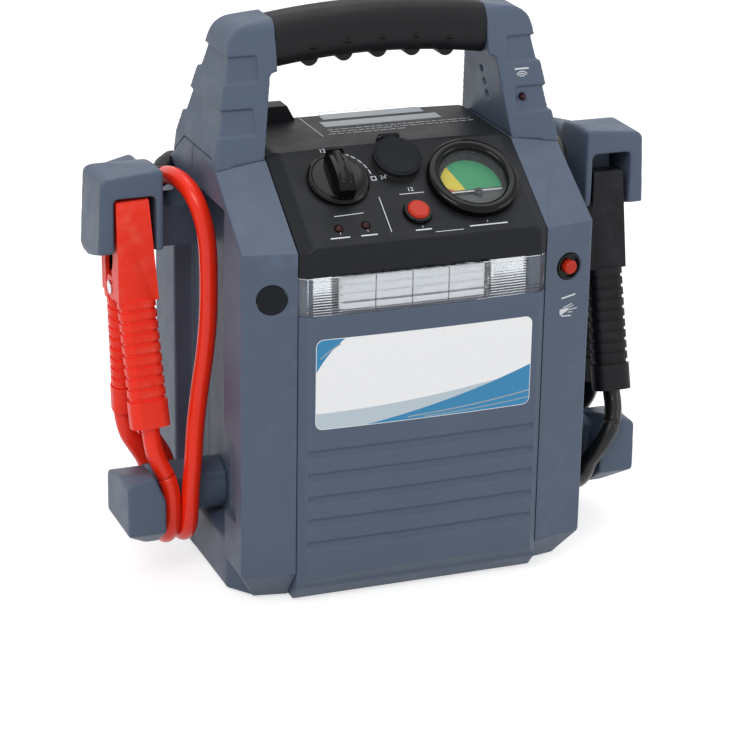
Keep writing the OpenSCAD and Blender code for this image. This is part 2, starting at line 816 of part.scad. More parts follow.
module gland() {
  gland_place() {
    translate([0, 0, -11]) cylinder(r = gland_r, h = 13);
    translate([0, 0, 2]) cylinder(r1 = gland_r, r2 = lead_d / 2 + 1.2, h = gland_len - 2 + 1);
  }
}

module lead_glands() {
  color(coal) for (s = [-1, 1]) on_side(s) gland();
}

// ---------------------------------------------------------------- inside

battery_room = 20;         // between a battery and the shell in front of or behind it
battery = [panel_w + 9.8, half_d - 3 - battery_room, shoulder_z - 76.6];
tray_z = base_z + 2 * wall;

module battery(y) {
  translate([-battery.x / 2, y, tray_z]) cube(battery - [0, 0, 5]);
  translate([-battery.x / 2 + 4, y + 4, tray_z]) cube([battery.x - 8, battery.y - 8, battery.z]);
  for (x = [-1, 1]) translate([x * (battery.x / 2 - 16), y + battery.y / 2, tray_z + battery.z]) cylinder(r = 6, h = 5);
}

module battery_front() {
  color([0.2, 0.22, 0.25]) battery(-battery.y - 3);
}

module battery_rear() {
  color([0.2, 0.22, 0.25]) battery(3);
}

strap_w = 24;

// A tray under the batteries with a strap that runs round both.
module battery_bracket() {
  reach = battery.y + 3;
  top = tray_z + battery.z;
  color(steel) difference() {
    translate([-strap_w / 2, -reach - 2.4, tray_z]) cube([strap_w, 2 * reach + 4.8, battery.z + 2.4]);
    translate([-strap_w, -reach, tray_z - 1]) cube([2 * strap_w, 2 * reach, battery.z + 1]);
  }
  color(steel) for (x = [-1, 1], y = [-1, 1]) translate([x * 8, y * reach / 2, top + 2.4]) cylinder(r = 3, h = 8);
  color(steel) translate([-panel_hw + lip_w + 1, -reach, base_z + wall])
    cube([panel_w - 2 * lip_w - 2, 2 * reach, tray_z - base_z - wall]);
}

module control_board() {
  z = tray_z + battery.z + 10.4;
  w = panel_w - 31.2;
  d = battery.y + 33;
  color([0.1, 0.35, 0.2]) translate([-w / 2, -d / 2, z]) cube([w, d, 1.6]);
  color(coal) {
    for (x = [-1, 1]) translate([x * w * 0.36 - 10, -d / 5, z + 1.6]) cube([20, 16, 14]);
    for (x = [-1, 1]) translate([x * w / 5, d / 4, z + 1.6]) cylinder(r = 7, h = 16);
  }
}

// ---------------------------------------------------------------- controls

selector_shaft_r = 5;
knob_r = selector_r - 3;
face_w = raised;           // height of the control face over the shell's slope

module selector_bezel() {
  color([0.04, 0.04, 0.04]) on_slope(knob_at.x, knob_at.y, face_w) rotate_extrude() difference() {
    translate([selector_shaft_r + 1, 0]) square([selector_r - selector_shaft_r - 1, 4]);
    translate([0, 1.2]) square([knob_r + seat_gap, 4]);
    translate([selector_r, 4]) rotate(45) square(2, center = true);
  }
}

module selector_knob() {
  color([0.05, 0.05, 0.05]) on_slope(knob_at.x, knob_at.y, face_w) {
    translate([0, 0, 1.2 + seat_gap]) cylinder(r = knob_r, h = 2.6);
    translate([0, 0, 1.5 + seat_gap]) intersection() {
      translate([-5.5, -knob_r + 0.6, 0]) cube([11, 2 * knob_r - 1.2, 14]);
      cylinder(r = knob_r, h = 14);
      translate([-6, 0, -36]) rotate([0, 90, 0]) cylinder(r = 49, h = 12);
    }
    translate([0, 0, -10]) cylinder(r = selector_shaft_r, h = 12);
  }
}

module selector_switch() {
  color([0.75, 0.72, 0.62]) on_slope(knob_at.x, knob_at.y, 0) difference() {
    union() {
      translate([0, 0, -38]) cylinder(r = 19, h = 38);
      cylinder(r = selector_shaft_r + 4, h = face_w - wall);
      cylinder(r = selector_shaft_r + 0.9, h = face_w + 1);
    }
    translate([0, 0, -14]) cylinder(r = selector_shaft_r + running_gap, h = 30);
  }
}

socket_len = 42;

module socket_barrel() {
  color(steel) on_slope(socket_at.x, socket_at.y, face_w) rotate_extrude() difference() {
    union() {
      translate([0, -socket_len]) square([socket_bore_r + socket_wall, socket_len + 1]);
      square([socket_bore_r + socket_wall + 2.5, 1.6]);
    }
    translate([-1, -socket_len + 2]) square([socket_bore_r + 1, socket_len + 2]);
  }
}

cap_hinge_v = socket_cap_r + 2.2;
cap_hinge_w = 3.2;
cap_pin_r = 0.8;

module socket_cap() {
  color([0.06, 0.06, 0.07]) on_slope(socket_at.x, socket_at.y, face_w) difference() {
    union() {
      translate([0, 0, 1.6 + seat_gap]) cylinder(r = socket_cap_r, h = 3.4);
      translate([0, 0, 5]) cylinder(r1 = socket_cap_r - 0.4, r2 = socket_cap_r - 2, h = 1.4);
      translate([-4, socket_cap_r - 3, 1.6 + seat_gap]) cube([8, 5.2, 2.6]);
      translate([-4, cap_hinge_v, cap_hinge_w]) rotate([0, 90, 0]) cylinder(r = 1.9, h = 8);
    }
    translate([-5, cap_hinge_v, cap_hinge_w]) rotate([0, 90, 0]) cylinder(r = cap_pin_r + running_gap, h = 10);
  }
}

// Two ears on the panel behind the socket that carry the lid's hinge pin.
module cap_ears() {
  on_slope(socket_at.x, socket_at.y, face_w) difference() {
    for (s = [-1, 1]) along_x(s * 5.6 - 1.3, s * 5.6 + 1.3) {
      translate([cap_hinge_v, cap_hinge_w]) circle(2, $fn = 32);
      polygon([
        [cap_hinge_v - 1.9, cap_hinge_w], [cap_hinge_v + 1.9, cap_hinge_w], [cap_hinge_v + 3.4, -5], [cap_hinge_v - 1.9, -3]
      ]);
    }
    translate([-8, cap_hinge_v, cap_hinge_w]) rotate([0, 90, 0]) cylinder(r = cap_pin_r, h = 16);
  }
}

module cap_hinge_pin() {
  color(steel) on_slope(socket_at.x, socket_at.y, face_w)
    translate([-6.9, cap_hinge_v, cap_hinge_w]) rotate([0, 90, 0]) cylinder(r = cap_pin_r, h = 13.8);
}

window_r = meter_r - 8;

module meter_bezel() {
  color([0.04, 0.04, 0.04]) on_slope(meter_at.x, meter_at.y, face_w) rotate_extrude() difference() {
    union() {
      translate([window_r, 0]) square([meter_r - window_r - 2, 4.5]);
      translate([window_r, 0]) square([meter_r - window_r, 2.5]);
      translate([meter_r - 2.5, 2.5]) circle(2.5, $fn = 32);
      translate([window_r + 2.6, 4.4]) scale(1) circle(2.6, $fn = 32);
      translate([window_r + 2.6, 2]) square([meter_r - window_r - 5.1, 5 - 2.4 + 0.2 + 2.2]);
    }
    translate([window_r - 5, 2.2]) square([5 + 1.2, 1.6]);
    translate([0, -10]) square([60, 10]);
  }
}

needle_at = [3, -8];
needle_pin_r = 1.1;

module meter_body() {
  color(coal) on_slope(meter_at.x, meter_at.y, 0) difference() {
    translate([0, 0, -24]) cylinder(r = meter_body_r - seat_gap, h = 24 + face_w);
    translate([0, 0, -22]) cylinder(r = meter_body_r - 5, h = 60);
    translate([0, 0, face_w - 4]) cylinder(r = meter_body_r - 3, h = 60);
  }
  // bearing of the needle's pin
  color(coal) on_slope(meter_at.x + needle_at.x, meter_at.y + needle_at.y, -22) difference() {
    cylinder(r = 4, h = 19);
    translate([0, 0, 15]) cylinder(r = needle_pin_r + running_gap, h = 19);
  }
}

module meter_dial() {
  color([0.1, 0.6, 0.4]) on_slope(meter_at.x, meter_at.y, face_w - 4) difference() {
    cylinder(r = meter_body_r - 3 - 0.05, h = 1);
    translate([needle_at.x, needle_at.y, -1]) cylinder(r = needle_pin_r + running_gap, h = 3);
  }
}

module meter_needle() {
  color([0.1, 0.1, 0.1]) on_slope(meter_at.x + needle_at.x, meter_at.y + needle_at.y, face_w - 4) {
    translate([0, 0, -7.5]) cylinder(r = needle_pin_r, h = 9.5);
    translate([0, 0, 1.4]) cylinder(r = 3, h = 0.9);
    translate([-19, -0.5, 1.4]) cube([20, 1, 0.6]);
  }
}

module meter_lens() {
  color([0.9, 0.95, 0.95, 0.3]) on_slope(meter_at.x, meter_at.y, face_w + 2.2) cylinder(r = window_r + 1.2 - 0.05, h = 1.5);
}

bezel_h = 3;

module test_switch() {
  color([0.05, 0.05, 0.05]) on_slope(test_at.x, test_at.y, face_w) difference() {
    union() {
      cylinder(r1 = 9.8, r2 = 9, h = bezel_h);
      translate([0, 0, -18]) cylinder(r = test_button_r + 1.4, h = 19);
    }
    translate([0, 0, -14]) cylinder(r = test_button_r + running_gap, h = 40);
  }
}

module test_button() {
  color(red) on_slope(test_at.x, test_at.y, face_w) {
    translate([0, 0, -14 + button_travel + seat_gap]) cylinder(r = test_button_r, h = 14 + 3.4 - button_travel);
    translate([0, 0, 3.6]) cylinder(r1 = test_button_r, r2 = test_button_r - 1.2, h = 1.2);
  }
}

light_x = (panel_hw + half_w) / 2 + 0.3;
light_z = 214.5;
light_bezel_r = 9;

module light_switch() {
  color([0.05, 0.05, 0.05]) on_strip(light_x, light_z) difference() {
    union() {
      translate([0, 0, -20]) cylinder(r = light_bezel_r - fit_gap, h = 20.4);
      translate([0, 0, -8]) cylinder(r = light_bezel_r + 2, h = 8 - wall);
    }
    translate([0, 0, -1.6]) cylinder(r = light_bezel_r - 1.6, h = 10);
    translate([0, 0, -17]) cylinder(r = light_button_r + running_gap, h = 40);
  }
}

module light_button() {
  color(red) on_strip(light_x, light_z) {
    translate([0, 0, -17 + button_travel + seat_gap]) cylinder(r = light_button_r, h = 17 + 2 - button_travel);
    translate([0, 0, 2]) cylinder(r1 = light_button_r, r2 = light_button_r - 1, h = 1);
  }
}

// Two lamps on the control face and the alert lamp on the right post.
module indicator_lamps() {
  color([0.6, 0.05, 0.05]) for (p = led_at) on_slope(p.x, p.y, face_w) {
    translate([0, 0, -8]) cylinder(r = led_r, h = 7.4);
    translate([0, 0, -8]) cylinder(r = led_r + 0.8, h = 5 - seat_gap);
    translate([0, 0, -0.8]) sphere(r = led_r * 0.96);
  }
  alert_y = -half_side(0)[3].x + post_lean_front * (alert_at.y - post_front_z0) + 0.6;
  color([0.5, 0.05, 0.1]) translate([alert_at.x, alert_y, alert_at.y]) rotate([-90, 0, 0]) {
    cylinder(r = 2.1, h = 8);
    sphere(r = 2.1);
  }
}

jack_x = (panel_hw + half_w) / 2 - 1.5;
jack_z = 213.3;
jack_cap_r = 9.75;

module charge_jack() {
  color([0.1, 0.1, 0.1]) mirror([1, 0, 0]) on_strip(jack_x, jack_z) {
    difference() {
      translate([0, 0, -22]) cylinder(r = jack_cap_r - 1, h = 17);
      translate([0, 0, -18]) cylinder(r = 2.8, h = 20);
    }
    translate([0, 0, -19]) cylinder(r = 1, h = 12);
    difference() {
      translate([0, 0, -8]) cylinder(r = jack_cap_r + 2, h = 8 - wall);
      translate([0, 0, -9]) cylinder(r = jack_cap_r - 1.2, h = 10);
    }
  }
}

module charge_jack_cap() {
  color([0.07, 0.07, 0.07]) mirror([1, 0, 0]) on_strip(jack_x, jack_z) {
    translate([0, 0, -wall + 0.1]) cylinder(r = jack_cap_r, h = wall - 0.5);
    translate([0, 0, -9]) difference() {
      cylinder(r = 2.6, h = 8);
      translate([0, 0, -1]) cylinder(r = 1.3, h = 6);
    }
  }
}

// ---------------------------------------------------------------- clamps

pivot_y = -1;
pivot_z = 200;
ear_t = 2.5;
ear_r = 8.5;
cover_t = 2.4;
front_face_y = -21;        // front of the front cover at its tip
rear_face_y = 18.2;        // rear of the rear cover at its tip
cover_tip_z = 62.5;        // above the pivot
cover_end_z = -6;
jaw_w = 14;
jaw_gap = 0.3;             // between a jaw and the web it bites
grip_ribs = 9;
rib_pitch = 7.4;
rib_h = 4.9;
grip_w = 24.8;
collar_w = 26;
collar_len = 18;
cord_depth = 6;            // how far a lead enters a handle
grip_d = 16.6;

bite_h = 50;               // height of the bite above the pivot
red_at = 169;
red_tilt = 3;
black_at = 166.5;
black_y = -1.2;
black_pitch = 5.5;
black_drop = 12;

// Puts a clamp, drawn at its own pivot, in its dock: at is the X of its bite.
module in_dock(at, tilt, pitch, y, drop) {
  translate([at, y, pivot_z - drop + bite_h]) rotate([-pitch, tilt, 0]) translate([0, 0, -bite_h]) children();
}

// Where in_dock puts the point p.
function dock_point(p, at, tilt, pitch, y, drop) = let (
  h = p.z - bite_h,
  q = [p.x, p.y * cos(pitch) + h * sin(pitch), h * cos(pitch) - p.y * sin(pitch)]
) [at + q.x * cos(tilt) + q.z * sin(tilt), y + q.y, pivot_z - drop + bite_h + q.z * cos(tilt) - q.x * sin(tilt)];

// Point on the axis of a clamp's handle, s along it from its upper end.
function front_axis(s) = [0, front_axis_y + s * sin(front_a), front_axis_z - s * cos(front_a)];
function rear_axis(s, x) = [x, rear_axis_y + s * sin(rear_a), rear_axis_z - s * cos(rear_a)];

// A clamp's handle: a ribbed sleeve that starts at [y, z] and hangs at angle a.
module handle(y, z, a, length, w) {
  translate([0, y, z]) rotate([a, 0, 0]) {
    translate([0, 0, -length]) linear_extrude(length) rounded_rect(w - 2.2, grip_d - 2.2, 5.5);
    for (k = [0 : grip_ribs - 1]) translate([0, 0, -1 - rib_h - k * rib_pitch])
      linear_extrude(rib_h) rounded_rect(w, grip_d, 6.5);
    translate([0, 0, -length]) linear_extrude(collar_len) rounded_rect(collar_w, grip_d + 1.4, 7);
  }
}

// Taper of the covers, from the pivot's width to the tip's.
module cover_taper() {
  along_y(-60, 60) polygon([
    [-clamp_w / 2, cover_end_z], [clamp_w / 2, cover_end_z], [clamp_tip_w / 2, cover_tip_z], [-clamp_tip_w / 2, cover_tip_z]
  ]);
}

front_len = 86;
rear_len = 84;
front_a = -9.4;            // splay of the front handle
rear_a = 4.5;              // and of the rear one
front_axis_y = -13.4;
front_axis_z = cover_end_z + 0.5;
rear_axis_y = 10.6;
rear_axis_z = cover_end_z - 4;
cord_x = lead_d / 2 + 0.1; // distance of the rear handle's two leads from its middle

// Bore in a handle's lower end that takes a lead.
module cord_bore(y, z, a, length, x) {
  translate([0, y, z]) rotate([a, 0, 0]) translate([x, 0, -length - 1]) cylinder(r = lead_d / 2 + 0.2, h = cord_depth + 1.02);
}

module front_arm() {
  difference() {
    union() {
      intersection() {
        cover_taper();
        along_x(-60, 60) polygon(rounded([
          [front_face_y, cover_tip_z, 2], [front_face_y, cover_end_z, 0], [-6, cover_end_z, 0],
          [-6, 12, 0], [-9, 20, 0], [-9, cover_tip_z, 0]
        ]));
      }
      // ears round the pivot, outside the rear arm's
      for (s = [-1, 1]) along_x(s * 11.7 - ear_t / 2, s * 11.7 + ear_t / 2) {
        translate([pivot_y, 0]) circle(ear_r);
        translate([-16, -5]) square([15, 13]);
      }
      handle(front_axis_y, front_axis_z, front_a, front_len, grip_w);
    }
    translate([-jaw_w / 2 - 0.25, front_face_y + cover_t, -5]) cube([jaw_w + 0.5, 60, cover_tip_z + 5 - cover_t]);
    translate([-10.3, -11, -9]) cube([20.6, 60, 20]);
    cord_bore(front_axis_y, front_axis_z, front_a, front_len, 0);
    translate([-60, pivot_y, 0]) rotate([0, 90, 0]) cylinder(r = clamp_pin_r + running_gap, h = 120);
  }
}

module rear_arm() {
  difference() {
    union() {
      intersection() {
        cover_taper();
        along_x(-60, 60) polygon(rounded([
          [rear_face_y, cover_tip_z, 2], [rear_face_y, cover_end_z, 0], [9, cover_end_z, 0], [9, cover_tip_z, 0]
        ]));
      }
      for (s = [-1, 1]) along_x(s * 8.6 - ear_t / 2, s * 8.6 + ear_t / 2) {
        translate([pivot_y, 0]) circle(ear_r);
        translate([0, -ear_r]) square([12, 2 * ear_r]);
      }
      handle(rear_axis_y, rear_axis_z, rear_a, rear_len, grip_w);
      translate([-clamp_w / 2 + 1, 9, cover_end_z - 6]) cube([clamp_w - 2, 9, 8]);
    }
    translate([-jaw_w / 2 - 0.25, pivot_y - 20, -9])
      cube([jaw_w + 0.5, rear_face_y - cover_t - pivot_y + 20, cover_tip_z + 9 - cover_t]);
    for (x = [-cord_x, cord_x]) cord_bore(rear_axis_y, rear_axis_z, rear_a, rear_len, x);
    translate([-60, pivot_y, 0]) rotate([0, 90, 0]) cylinder(r = clamp_pin_r + 0.02, h = 120);
  }
}

// Outline of a jaw in (Y, Z): a toothed bite near the tip and a deep throat above the pivot.
function jaw_points(back, bite, throat) = concat(
  [[back, cover_tip_z - cover_t - 1], [bite, cover_tip_z - cover_t - 1]],
  [for (k = [0 : 4], m = [0, 1]) [bite + (m == 0 ? 0 : sign(back) * 1.2), cover_tip_z - cover_t - 3 - 3 * k - 1.5 * m]],
  [[throat * 0.7, cover_tip_z - 24], [throat, 34], [throat, 14], [back - sign(back) * 2.4, 10], [back, 12]]
);

module front_jaw() {
  along_x(-jaw_w / 2, jaw_w / 2)
    polygon(jaw_points(front_face_y + cover_t, -web_t / 2 - jaw_gap, -9));
}

module rear_jaw() {
  along_x(-jaw_w / 2, jaw_w / 2)
    polygon(jaw_points(rear_face_y - cover_t, web_t / 2 + jaw_gap, 8));
}

module pivot_pin() {
  translate([-14.2, pivot_y, 0]) rotate([0, 90, 0]) {
    translate([0, 0, 1]) cylinder(r = clamp_pin_r, h = 26.4);
    cylinder(r = clamp_pin_r + 1.6, h = 1);
    translate([0, 0, 27.4]) cylinder(r = clamp_pin_r + 1.6, h = 1);
  }
}

spring_r = clamp_pin_r + spring_wire / 2 + 0.9;
spring_pitch = spring_wire + 0.75;
spring_rings = 8;
spring_steps = (spring_curls - 0.5) * spring_rings;

// Centre line of the spring: half a curl short, so that one leg bears on each handle.
function spring_path() = concat(
  [spring_point(0) + [0, 0.4, rear_axis_z + 1], spring_point(0) + [0, 0, -4]],
  [for (k = [0 : spring_steps]) spring_point(k)],
  [spring_point(spring_steps) + [0, -1.4, -2.4], spring_point(spring_steps) + [0, -3.6, front_axis_z + 1.2]]
);
function spring_point(k) = [
  (k / spring_steps - 0.5) * spring_steps / spring_rings * spring_pitch,
  spring_r * cos(360 * k / spring_rings), spring_r * sin(360 * k / spring_rings)
];

// Least gap between neighbouring curls, measured on the ring centres.
spring_gap = min([
  for (k = [0 : spring_steps - spring_rings]) norm(spring_point(k) - spring_point(k + spring_rings))
]) - spring_wire;
echo(least_spring_gap = spring_gap);

module clamp_spring() {
  translate([0, pivot_y, 0]) tube(spring_path(), spring_wire / 2, 6);
}

// An unbroken tube of radius r swept along a path, with a face at each end.
module tube(path, r, sides, aside = [1, 0, 0]) {
  n = len(path);
  rings = [
    for (k = [0 : n - 1])
      let (
        t = unit(path[min(k + 1, n - 1)] - path[max(k - 1, 0)]),
        u = unit(aside - (aside * t) * t),
        v = cross(t, u)
      )
      for (j = [0 : sides - 1]) path[k] + r * (cos(360 * j / sides) * u + sin(360 * j / sides) * v)
  ];
  walls = [
    for (k = [0 : n - 2], j = [0 : sides - 1])
      let (a = k * sides + j, b = k * sides + (j + 1) % sides)
      each [[a, a + sides, b], [b, a + sides, b + sides]]
  ];
  polyhedron(
    points = rings,
    faces = concat(walls, [[for (j = [0 : sides - 1]) j]], [[for (j = [sides - 1 : -1 : 0]) (n - 1) * sides + j]])
  );
}

module red_clamp() {
  color(red) mirror([1, 0, 0]) in_dock(red_at, red_tilt, 0, 0, 0) children();
}

module black_clamp() {
  color(coal) in_dock(black_at, 0, black_pitch, black_y, black_drop) children();
}

module red_front_arm() {
  red_clamp() front_arm();
}

module red_front_jaw() {
  color(copper) red_clamp() front_jaw();
}

module red_rear_arm() {
  red_clamp() rear_arm();
}

module red_rear_jaw() {
  color(copper) red_clamp() rear_jaw();
}

module red_pivot_pin() {
  color(steel) red_clamp() pivot_pin();
}

module red_spring() {
  color(steel) red_clamp() clamp_spring();
}

module black_front_arm() {
  black_clamp() front_arm();
}

module black_front_jaw() {
  color(copper) black_clamp() front_jaw();
}

module black_rear_arm() {
  black_clamp() rear_arm();
}

module black_rear_jaw() {
  color(copper) black_clamp() rear_jaw();
}

module black_pivot_pin() {
  color(steel) black_clamp() pivot_pin();
}

module black_spring() {
  color(steel) black_clamp() clamp_spring();
}

// ---------------------------------------------------------------- leads

// Both leads leave their gland, pass over the dock's arm, hang down the side and turn under the hook.
// A lead ends inside the rear handle of its clamp; a link cable joins that handle to the front one.
lead_start = [
  gland_tip, [131.8, 47.4, 256.5], [133.6, 43.6, 257.1], [134.6, 38, 258.8], [134.9, 28, 262.5], [134.8, 14.5, 266.8],
  [134, 2, 269], [132.5, -8, 268.5], [130, -17.5, 265], [127, -25, 256.5], [124.5, -28.5, 246],
  [122.5, -29.5, 232], [121.3, -28.5, 208], [121.3, -27, 182], [123.5, -26.5, 156], [127.5, -27, 130],
  [131.6, -30.5, 106], [134.6, -34.6, 84], [136.8, -36.4, 67]
];
loop_turn = [[-36, 50.5], [-32.8, 38.5], [-24, 29.7], [-12, 26.5], [0, 29.7], [8.8, 38.5], [12, 50.5]];
lead_loop_x = 137.5;
link_loop_x = 150;
red_lead_end = [[138.4, 13.2, 63], [141.2, 14.6, 72], [146, 16.1, 80.5], [150.8, 17, 88.5]];
red_link_start = [[160, -31.5, 92.5], [157.2, -33.3, 84.5], [153.2, -35, 75.5], [150.4, -36, 64]];
red_link_end = [[151.2, 12.8, 62], [154.6, 13.6, 71.5], [159.8, 14.6, 80.5], [164.4, 16, 89]];
black_lead_end = [
  [137.5, 0, 29.7], [137.7, 8.6, 38], [138.8, 13, 48], [141.8, 14.2, 57.6], [146.6, 13.2, 65.6], [151.6, 10.4, 72],
  [156, 6.8, 77.8], [159, 3.6, 84]
];
black_link_start = [
  [166.4, -45, 93.6], [164.6, -50.2, 87.2], [161.6, -54.6, 81], [157.8, -56.4, 74.4], [153.8, -56, 67.4],
  [150.4, -53.6, 60], [148.8, -49.4, 53], [148.2, -44, 43], [148.6, -37, 35.4], [149.2, -29, 30], [149.8, -20.6, 27.2],
  [150, -12, 26.5]
];
black_link_end = [
  [150, -3, 28.2], [150.8, 5, 33.2], [152.6, 11.6, 40.4], [156.6, 15.2, 48.6], [162.4, 16, 57], [168, 13.8, 65.4],
  [171.4, 10, 73], [172.6, 6.4, 80]
];

function loop_at(x, turn) = [for (p = turn) [x, p.x, p.y]];
function red_end(p) = dock_point(p, red_at, red_tilt, 0, 0, 0);
function black_end(p) = dock_point(p, black_at, 0, black_pitch, black_y, black_drop);
function front_tail() = [front_axis(front_len - cord_depth), front_axis(front_len + 3)];
function rear_tail(x) = [rear_axis(rear_len + 3, x), rear_axis(rear_len - cord_depth, x)];

module lead(path) {
  tube(path, lead_d / 2, 10);
}

module red_lead() {
  tail = [for (p = rear_tail(-cord_x)) red_end(p)];
  color(red) mirror([1, 0, 0]) lead(concat(lead_start, loop_at(lead_loop_x, loop_turn), red_lead_end, tail));
}

module red_link_cable() {
  head = [for (p = front_tail()) red_end(p)];
  tail = [for (p = rear_tail(cord_x)) red_end(p)];
  color(red) mirror([1, 0, 0])
    lead(concat(head, red_link_start, loop_at(link_loop_x, loop_turn), red_link_end, tail));
}

module black_lead() {
  loop = [for (k = [0 : 3]) loop_turn[k]];
  tail = [for (p = rear_tail(-cord_x)) black_end(p)];
  color(coal) lead(concat(lead_start, loop_at(lead_loop_x, loop), black_lead_end, tail));
}

module black_link_cable() {
  head = [for (p = front_tail()) black_end(p)];
  tail = [for (p = rear_tail(cord_x)) black_end(p)];
  color(coal) lead(concat(head, black_link_start, black_link_end, tail));
}

left_side_shell();
right_side_shell();
rear_shell();
base_plate();
rubber_feet();
front_panel();
control_panel();
work_light_lens();
work_light_reflector();
light_board();
left_post();
right_post();
handle_bar();
handle_grip();
rear_lug();
left_dock();
right_dock();
left_hook();
right_hook();
lead_glands();
housing_screws();
battery_front();
battery_rear();
battery_bracket();
control_board();
buzzer();
selector_bezel();
selector_knob();
selector_switch();
socket_barrel();
socket_cap();
cap_hinge_pin();
meter_bezel();
meter_body();
meter_dial();
meter_needle();
meter_lens();
test_button();
test_switch();
light_button();
light_switch();
indicator_lamps();
charge_jack();
charge_jack_cap();
red_front_arm();
red_front_jaw();
red_rear_arm();
red_rear_jaw();
red_pivot_pin();
red_spring();
black_front_arm();
black_front_jaw();
black_rear_arm();
black_rear_jaw();
black_pivot_pin();
black_spring();
red_lead();
red_link_cable();
black_lead();
black_link_cable();
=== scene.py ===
"""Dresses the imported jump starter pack: camera, leads, finishes, printed marks, lamps and floor."""
import json
import math
import random

import bmesh
import bpy
from mathutils import Matrix, Vector
from mathutils.bvhtree import BVHTree

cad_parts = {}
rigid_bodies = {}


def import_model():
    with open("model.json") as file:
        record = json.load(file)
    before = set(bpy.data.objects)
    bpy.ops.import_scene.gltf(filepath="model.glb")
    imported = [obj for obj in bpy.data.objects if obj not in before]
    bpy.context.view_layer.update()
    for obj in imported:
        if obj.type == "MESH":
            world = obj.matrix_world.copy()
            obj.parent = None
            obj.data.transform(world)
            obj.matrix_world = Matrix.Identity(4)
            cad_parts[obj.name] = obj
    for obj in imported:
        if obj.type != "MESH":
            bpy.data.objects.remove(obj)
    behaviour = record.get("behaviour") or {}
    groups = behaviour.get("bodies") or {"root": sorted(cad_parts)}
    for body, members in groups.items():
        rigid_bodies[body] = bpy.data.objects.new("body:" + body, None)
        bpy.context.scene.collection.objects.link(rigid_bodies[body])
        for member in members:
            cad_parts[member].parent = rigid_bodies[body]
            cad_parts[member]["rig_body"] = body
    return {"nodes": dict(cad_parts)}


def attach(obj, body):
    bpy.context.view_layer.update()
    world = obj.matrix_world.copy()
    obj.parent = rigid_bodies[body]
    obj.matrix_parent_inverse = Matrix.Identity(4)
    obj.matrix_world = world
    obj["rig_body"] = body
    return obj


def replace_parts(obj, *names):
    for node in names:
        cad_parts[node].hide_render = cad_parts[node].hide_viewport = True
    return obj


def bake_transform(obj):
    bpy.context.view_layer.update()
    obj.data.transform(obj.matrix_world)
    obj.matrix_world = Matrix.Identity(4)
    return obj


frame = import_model()
NODES = frame["nodes"]
BODY = {n: o["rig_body"] for n, o in NODES.items()}
MM = 0.001
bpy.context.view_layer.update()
scene = bpy.context.scene


# ------------------------------------------------------------------ camera

def make_camera():
    """The photo's camera, fitted to the housing's corners."""
    right = (0.93280, -0.35996, 0.01755)
    down = (-0.11305, -0.33851, -0.93415)
    ahead = (0.34219, 0.86939, -0.35645)
    focal, photo_side, sensor = 2728.08, 750, 36        # pixels, pixels, mm
    data = bpy.data.cameras.new("camera")
    data.sensor_width = sensor
    data.lens = focal / photo_side * sensor
    data.clip_end = 50
    camera = bpy.data.objects.new("camera", data)
    scene.collection.objects.link(camera)
    turn = Matrix((right, [-c for c in down], [-c for c in ahead])).transposed().to_4x4()
    camera.matrix_world = Matrix.Translation((-0.6322, -1.6235, 0.7809)) @ turn
    scene.camera = camera


make_camera()


# ------------------------------------------------------------------ materials

def new_material(name):
    mat = bpy.data.materials.new(name)
    mat.use_nodes = True
    tree = mat.node_tree
    tree.nodes.clear()
    out = tree.nodes.new("ShaderNodeOutputMaterial")
    bsdf = tree.nodes.new("ShaderNodeBsdfPrincipled")
    tree.links.new(bsdf.outputs[0], out.inputs[0])
    return mat, tree, bsdf


def noise(tree, scale, detail=3.0):
    tex = tree.nodes.new("ShaderNodeTexNoise")
    tex.inputs["Scale"].default_value = scale
    tex.inputs["Detail"].default_value = detail
    tex.inputs["Roughness"].default_value = 0.55
    coord = tree.nodes.new("ShaderNodeTexCoord")
    tree.links.new(coord.outputs["Object"], tex.inputs["Vector"])
    return tex.outputs["Fac"]


def ramp(tree, value, stops):
    node = tree.nodes.new("ShaderNodeValToRGB")
    while len(node.color_ramp.elements) < len(stops):
        node.color_ramp.elements.new(0.5)
    for element, (at, colour) in zip(node.color_ramp.elements, stops):
        element.position = at
        element.color = (*colour, 1)
    tree.links.new(value, node.inputs[0])
    return node.outputs[0]


def spread(tree, value, low, high):
    node = tree.nodes.new("ShaderNodeMapRange")
    node.inputs["From Min"].default_value = 0.3
    node.inputs["From Max"].default_value = 0.7
    node.inputs["To Min"].default_value = low
    node.inputs["To Max"].default_value = high
    tree.links.new(value, node.inputs[0])
    return node.outputs[0]


def bump(tree, bsdf, layers):
    last = None
    for value, strength, distance in layers:
        node = tree.nodes.new("ShaderNodeBump")
        node.inputs["Strength"].default_value = strength
        node.inputs["Distance"].default_value = distance
        tree.links.new(value, node.inputs["Height"])
        if last:
            tree.links.new(last, node.inputs["Normal"])
        last = node.outputs[0]
    tree.links.new(last, bsdf.inputs["Normal"])


def shade(colour, k):
    return tuple(min(1.0, c * k) for c in colour)


def srgb(code):
    values = [int(code[i:i + 2], 16) / 255 for i in (0, 2, 4)]
    return tuple(v / 12.92 if v <= 0.04045 else ((v + 0.055) / 1.055) ** 2.4 for v in values)


